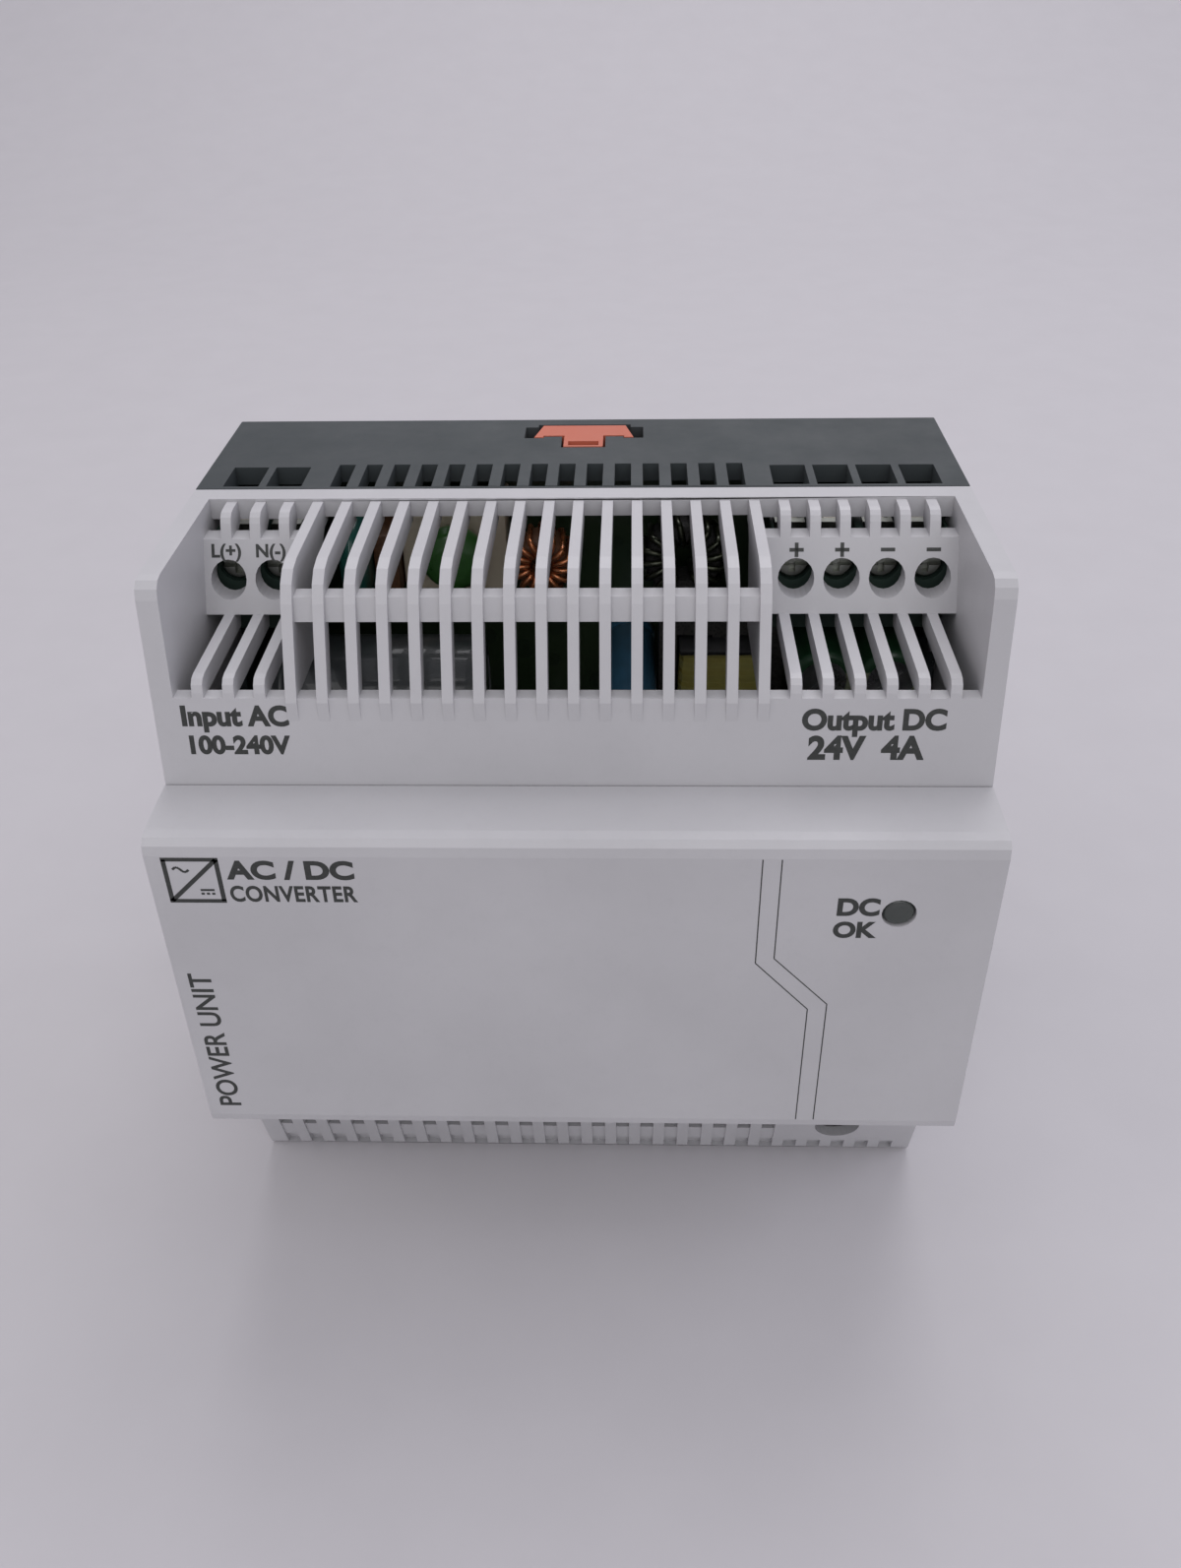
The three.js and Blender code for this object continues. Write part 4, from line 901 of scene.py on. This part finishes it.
def boxed(node, name, material, edge, lead_places):
    """A potted box part with rounded edges, a cast base rim and its leads."""
    low, high, middle = node_frame(node)
    rim = 0.35 * MM
    boxes = [
        (low, Vector((high.x, high.y - 0.9 * MM, high.z))),
        (low + Vector((rim, high.y - low.y - 1.2 * MM, rim)), high - Vector((rim, 0.25 * MM, rim))),
        (Vector((low.x, high.y - 0.5 * MM, low.z)), Vector((low.x + 2 * rim, high.y, low.z + 2 * rim))),
        (Vector((high.x - 2 * rim, high.y - 0.5 * MM, high.z - 2 * rim)), high),
    ]
    piece = blocks(name, boxes, material, edge=edge)
    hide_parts(node)
    places = [(middle.x + x * MM, middle.z + z * MM) for x, z in lead_places]
    leads(name + "_leads", places, high.y - 0.3 * MM)


def build_small_parts():
    """Dipped discs and potted boxes."""
    disc_part("varistor", "varistor_disc", TEAL_LACQUER, AXIS_X)
    disc_part("inrush_limiter", "inrush_limiter_disc", GREEN_LACQUER, AXIS_Y)
    disc_part("safety_capacitor", "safety_capacitor_disc", BLUE_LACQUER, AXIS_Y)
    for node in ("varistor", "inrush_limiter", "safety_capacitor"):
        low, high, middle = node_frame(node)
        apart = (high.z - low.z) * 0.2
        places = [(middle.x, middle.z - apart), (middle.x, middle.z + apart)]
        if node != "varistor":
            places = [(middle.x - apart, middle.z), (middle.x + apart, middle.z)]
        leads(node + "_leads", places, middle.y + 2 * MM)
    boxed(
        "film_capacitor", "film_capacitor_box", BROWN_EPOXY, 0.35 * MM,
        [(0, -2.5), (0, 2.5)],
    )
    boxed(
        "suppression_capacitor", "suppression_capacitor_box", BEIGE_PLASTIC, 0.3 * MM,
        [(-5, 0), (5, 0)],
    )
    boxed(
        "bridge_rectifier", "bridge_rectifier_body", BLACK_EPOXY, 0.4 * MM,
        [(-7.5, -4), (-2.5, -4), (2.5, -4), (7.5, -4)],
    )


def build_fuse():
    """Ceramic cartridge between two pressed end caps, each in a spring clip on the board."""
    low, high, middle = node_frame("input_fuse")
    radius = (high.z - low.z) / 2
    length = high.x - low.x
    tube = turned(
        "input_fuse_tube",
        [(0, 1 * MM), (radius * 0.9, 1 * MM), (radius * 0.9, length - 1 * MM), (0, length - 1 * MM)],
        Vector((low.x, middle.y, middle.z)), AXIS_X, CERAMIC, setback=0.2 * MM,
    )
    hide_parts("input_fuse")
    for k, (x, inward) in enumerate(((low.x, AXIS_X), (high.x, -AXIS_X)), 1):
        cap = [
            (0, 0), (radius * 0.97, 0), (radius, 0.3 * MM), (radius, 4.6 * MM), (radius * 1.04, 4.9 * MM),
            (radius * 0.88, 5.0 * MM), (radius * 0.88, 0.8 * MM), (0, 0.8 * MM),
        ]
        end = Vector((x, middle.y, middle.z))
        turned(f"input_fuse_cap_{k}", cap, end, inward, NICKEL, setback=0.15 * MM)
        fuse_clip(f"input_fuse_clip_{k}", x + inward.x * 2.5 * MM, middle, radius)


def fuse_clip(name, x, middle, radius):
    """Two sprung leaves that hug an end cap."""
    thick, width = 0.3 * MM, 3.2 * MM
    from_angle, sweep, steps = -60, 150, 8
    reach = radius + 0.15 * MM + thick * 0.5

    def build(bm):
        for side in (-1, 1):
            rows = []
            for k in range(steps + 1):
                angle = math.radians(from_angle + sweep * k / steps)
                rows.append(Vector((0, -math.sin(angle) * reach, side * math.cos(angle) * reach)))
            rows.insert(0, Vector((0, BOARD_LOW.y - middle.y, side * 0.9 * radius)))
            strip = []
            for row in rows:
                across = Vector((0, row.y, row.z)).normalized() * thick / 2
                half = width / 2
                strip.append([
                    bm.verts.new(Vector((x + dx, middle.y, middle.z)) + row + s)
                    for dx, s in ((-half, -across), (half, -across), (half, across), (-half, across))
                ])
            for a, b in zip(strip, strip[1:]):
                for k in range(4):
                    bm.faces.new((a[k], a[(k + 1) % 4], b[(k + 1) % 4], b[k]))
            bm.faces.new(strip[0])
            bm.faces.new(strip[-1])

    link_mesh(name, finished_mesh(name, build), TINNED)


def build_transformer():
    """Upright bobbin wound and taped in yellow between two black flanges, in a ferrite frame."""
    low, high, middle = node_frame("transformer_winding")
    soften("transformer_core", FERRITE, 0.25 * MM)
    flange = 0.7 * MM
    layers = []
    for grow, share in ((-0.1, 1.0), (0.0, 0.88), (0.08, 0.7)):
        inset = (1 - share) / 2 * (high.z - low.z) + 0.5 * flange
        layers.append((
            low + Vector((-grow * MM, -grow * MM, inset)),
            high + Vector((grow * MM, grow * MM, -inset)),
        ))
    tape = blocks("transformer_tape", layers, YELLOW_TAPE, edge=1.1 * MM)
    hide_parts("transformer_winding")
    lip = Vector((0.1 * MM, 0.4 * MM, 0))
    rims = [
        (Vector((low.x, low.y, z)) - lip, Vector((high.x, high.y, z + flange)) + lip)
        for z in (low.z, high.z - flange)
    ]
    blocks("transformer_bobbin", rims, BLACK_EPOXY, edge=0.25 * MM)
    places = [(middle.x + dx * MM, z) for dx in (-3, 0, 3) for z in (low.z + 1.5 * MM, high.z - 1.5 * MM)]
    leads("transformer_pins", places, high.y, 0.4)


def build_power_parts():
    """Heatsinks with their clamped packages."""
    for plate, package, number in (
        ("primary_heatsink", "primary_transistor", 1),
        ("secondary_heatsink", "output_rectifier", 2),
    ):
        soften(plate, ALUMINIUM, 0.2 * MM)
        soften(package, BLACK_EPOXY, 0.15 * MM)
        _, high, middle = node_frame(package)
        hole = Vector((high.x - 3.0 * MM, high.y - 12.6 * MM - 4.6 * MM, middle.z))
        screw = [(0, 0.1), (1.2, 0.0), (2.4, 0.3), (2.8, 1.0), (2.8, 1.6), (1.4, 1.6), (1.4, 3.0), (0, 3.0)]
        turned(
            f"heatsink_screw_{number}", in_mm(screw), hole, -AXIS_X, NICKEL, setback=0.15 * MM,
        )


CHIP_HALF_WIDTH = 3.2


def bent_pins(node, count):
    """Bent pins along both long sides of a flat package, each a wide shoulder and a narrow leg."""
    _, high, middle = node_frame(node)
    top, under = high.y - 2.5 * MM, high.y - 2.2 * MM
    pitch, wide, narrow = 2.3, 0.6 * MM, 0.3 * MM
    boxes = []
    for side in (-1, 1):
        edge = middle.z + side * CHIP_HALF_WIDTH * MM
        for k in range(count):
            x = middle.x + (k - (count - 1) / 2) * pitch * MM
            shoulder = sorted((edge, edge + side * 1.0 * MM))
            leg = sorted((edge + side * 0.7 * MM, edge + side * 1.0 * MM))
            boxes.append(((x - wide, top, shoulder[0]), (x + wide, under, shoulder[1])))
            boxes.append(((x - narrow, top, leg[0]), (x + narrow, PIN_END, leg[1])))
            solder_points.append((x, (leg[0] + leg[1]) / 2, 0.35))
    blocks(node + "_pins", boxes, TINNED, edge=0.06 * MM)


def build_chips():
    """Flat packages with a parting waist, a mark at the first pin and bent pins."""
    for node, count in (("optocoupler", 2), ("control_ic", 4)):
        low, high, middle = node_frame(node)
        body_low = Vector((low.x, low.y, middle.z - CHIP_HALF_WIDTH * MM))
        body_high = Vector((high.x, high.y - 0.8 * MM, middle.z + CHIP_HALF_WIDTH * MM))
        waist = (body_low.y + body_high.y) / 2
        draft = 0.12
        boxes = [
            (
                body_low + Vector((draft, 0, draft)) * MM,
                Vector((body_high.x - draft * MM, waist, body_high.z - draft * MM)),
            ),
            (Vector((body_low.x, waist - 0.15 * MM, body_low.z)), body_high),
            (
                Vector((body_low.x + 0.6 * MM, body_low.y - 0.03 * MM, middle.z - 0.6 * MM)),
                Vector((body_low.x + 1.2 * MM, body_low.y + 0.2 * MM, middle.z)),
            ),
        ]
        piece = blocks(node + "_package", boxes, BLACK_EPOXY, edge=0.18 * MM)
        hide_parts(node)
        bent_pins(node, count)


def build_trimmer():
    """The trimmer's body and rotor, and its three pins."""
    soften("trim_potentiometer_body", BLUE_LACQUER, 0.25 * MM)
    soften("trim_potentiometer_rotor", WHITE_NYLON, 0.15 * MM)
    _, high, middle = node_frame("trim_potentiometer_body")
    places = [
        (middle.x - 2.5 * MM, middle.z - 2 * MM),
        (middle.x + 2.5 * MM, middle.z - 2 * MM),
        (middle.x, middle.z + 3 * MM),
    ]
    leads("trim_potentiometer_pins", places, high.y)


def build_coils():
    """The three ring chokes."""
    toroid(
        "filter_choke_core", "filter_choke_winding", 14, 0.35 * MM, COPPER_WIRE,
        coat=BROWN_EPOXY,
    )
    toroid("output_choke_core", "output_choke_winding", 15, 0.42 * MM, GREEN_WIRE)
    toroid("line_choke_core", "line_choke_winding", 24, 0.6 * MM, COPPER_WIRE)


def build_solder():
    """Solder cones on the back of the board, one at each lead."""

    def build(bm):
        for x, z, radius in solder_points:
            cone = in_mm([(0, 0), (radius + 0.75, 0), (radius + 0.35, 0.25), (radius + 0.08, 0.7), (0, 0.75)])
            revolve(bm, cone, Vector((x, BOARD_HIGH.y - 0.01 * MM, z)), AXIS_Y, 14)

    joints = finished_mesh("solder_joints", build)
    link_mesh("solder_joints", joints, SOLDER, smooth_below=50)


build_capacitors()
build_small_parts()
build_fuse()
build_transformer()
build_power_parts()
build_chips()
build_trimmer()
build_coils()
build_solder()


# ------------------------------------------------------------------ floor and light

def make_floor():
    """A pale sheet that rises behind the object without an edge."""
    shader = Shader("pale_sheet", 0.75)
    fibre = shader.noise(60, 5, 0.6)
    shader.color(shader.ramp(fibre, (0.3, (0.51, 0.495, 0.515)), (0.7, (0.525, 0.51, 0.53))))
    width, front, back, rise = 4.0, -1.6, 1.2, 1.6
    radius, steps = 0.7, 16

    def build(bm):
        line = [(front, 0.0), (back - radius, 0.0)]
        for k in range(1, steps + 1):
            angle = math.pi / 2 * k / steps
            line.append((back - radius + radius * math.sin(angle), radius - radius * math.cos(angle)))
        line.append((back, rise))
        rows = [[bm.verts.new((x, y, z)) for x in (-width / 2, width / 2)] for y, z in line]
        for a, b in zip(rows, rows[1:]):
            bm.faces.new((a[0], a[1], b[1], b[0]))

    mesh = finished_mesh("floor_sheet", build)
    mesh.materials.append(shader.material)
    shade_smooth(mesh)
    floor = bpy.data.objects.new("floor_sheet", mesh)
    scene.collection.objects.link(floor)


def area_light(name, place, target, size, power, color):
    """A round panel of size metres that gives power watts towards target."""
    data = bpy.data.lights.new(name, "AREA")
    data.shape = "DISK"
    data.size = size
    data.energy = power
    data.color = color
    light = bpy.data.objects.new(name, data)
    light.location = place
    light.rotation_euler = (Vector(target) - Vector(place)).to_track_quat("-Z", "Y").to_euler()
    scene.collection.objects.link(light)


def make_light():
    """A bright panel behind, a broad one in front, a cool window, a warm lamp and a pale room."""
    middle = (0, 0, 0.05)
    area_light("back_panel", (0.1, 0.62, 0.95), middle, 0.9, 4.9, (0.98, 0.97, 1.0))
    area_light("front_panel", (0.05, -0.85, 0.75), middle, 1.2, 4.0, (1.0, 0.99, 0.98))
    area_light("right_window", (0.85, 0.05, 0.6), middle, 0.6, 1.4, (0.86, 0.87, 1.0))
    area_light("left_lamp", (-0.8, -0.1, 0.55), middle, 0.6, 0.9, (1.0, 0.94, 0.88))
    world = bpy.data.worlds.new("room")
    world.use_nodes = True
    background = world.node_tree.nodes["Background"]
    background.inputs["Color"].default_value = (0.93, 0.92, 1.0, 1)
    background.inputs["Strength"].default_value = 0.55
    scene.world = world
    scene.view_settings.view_transform = "Standard"


make_floor()
make_light()
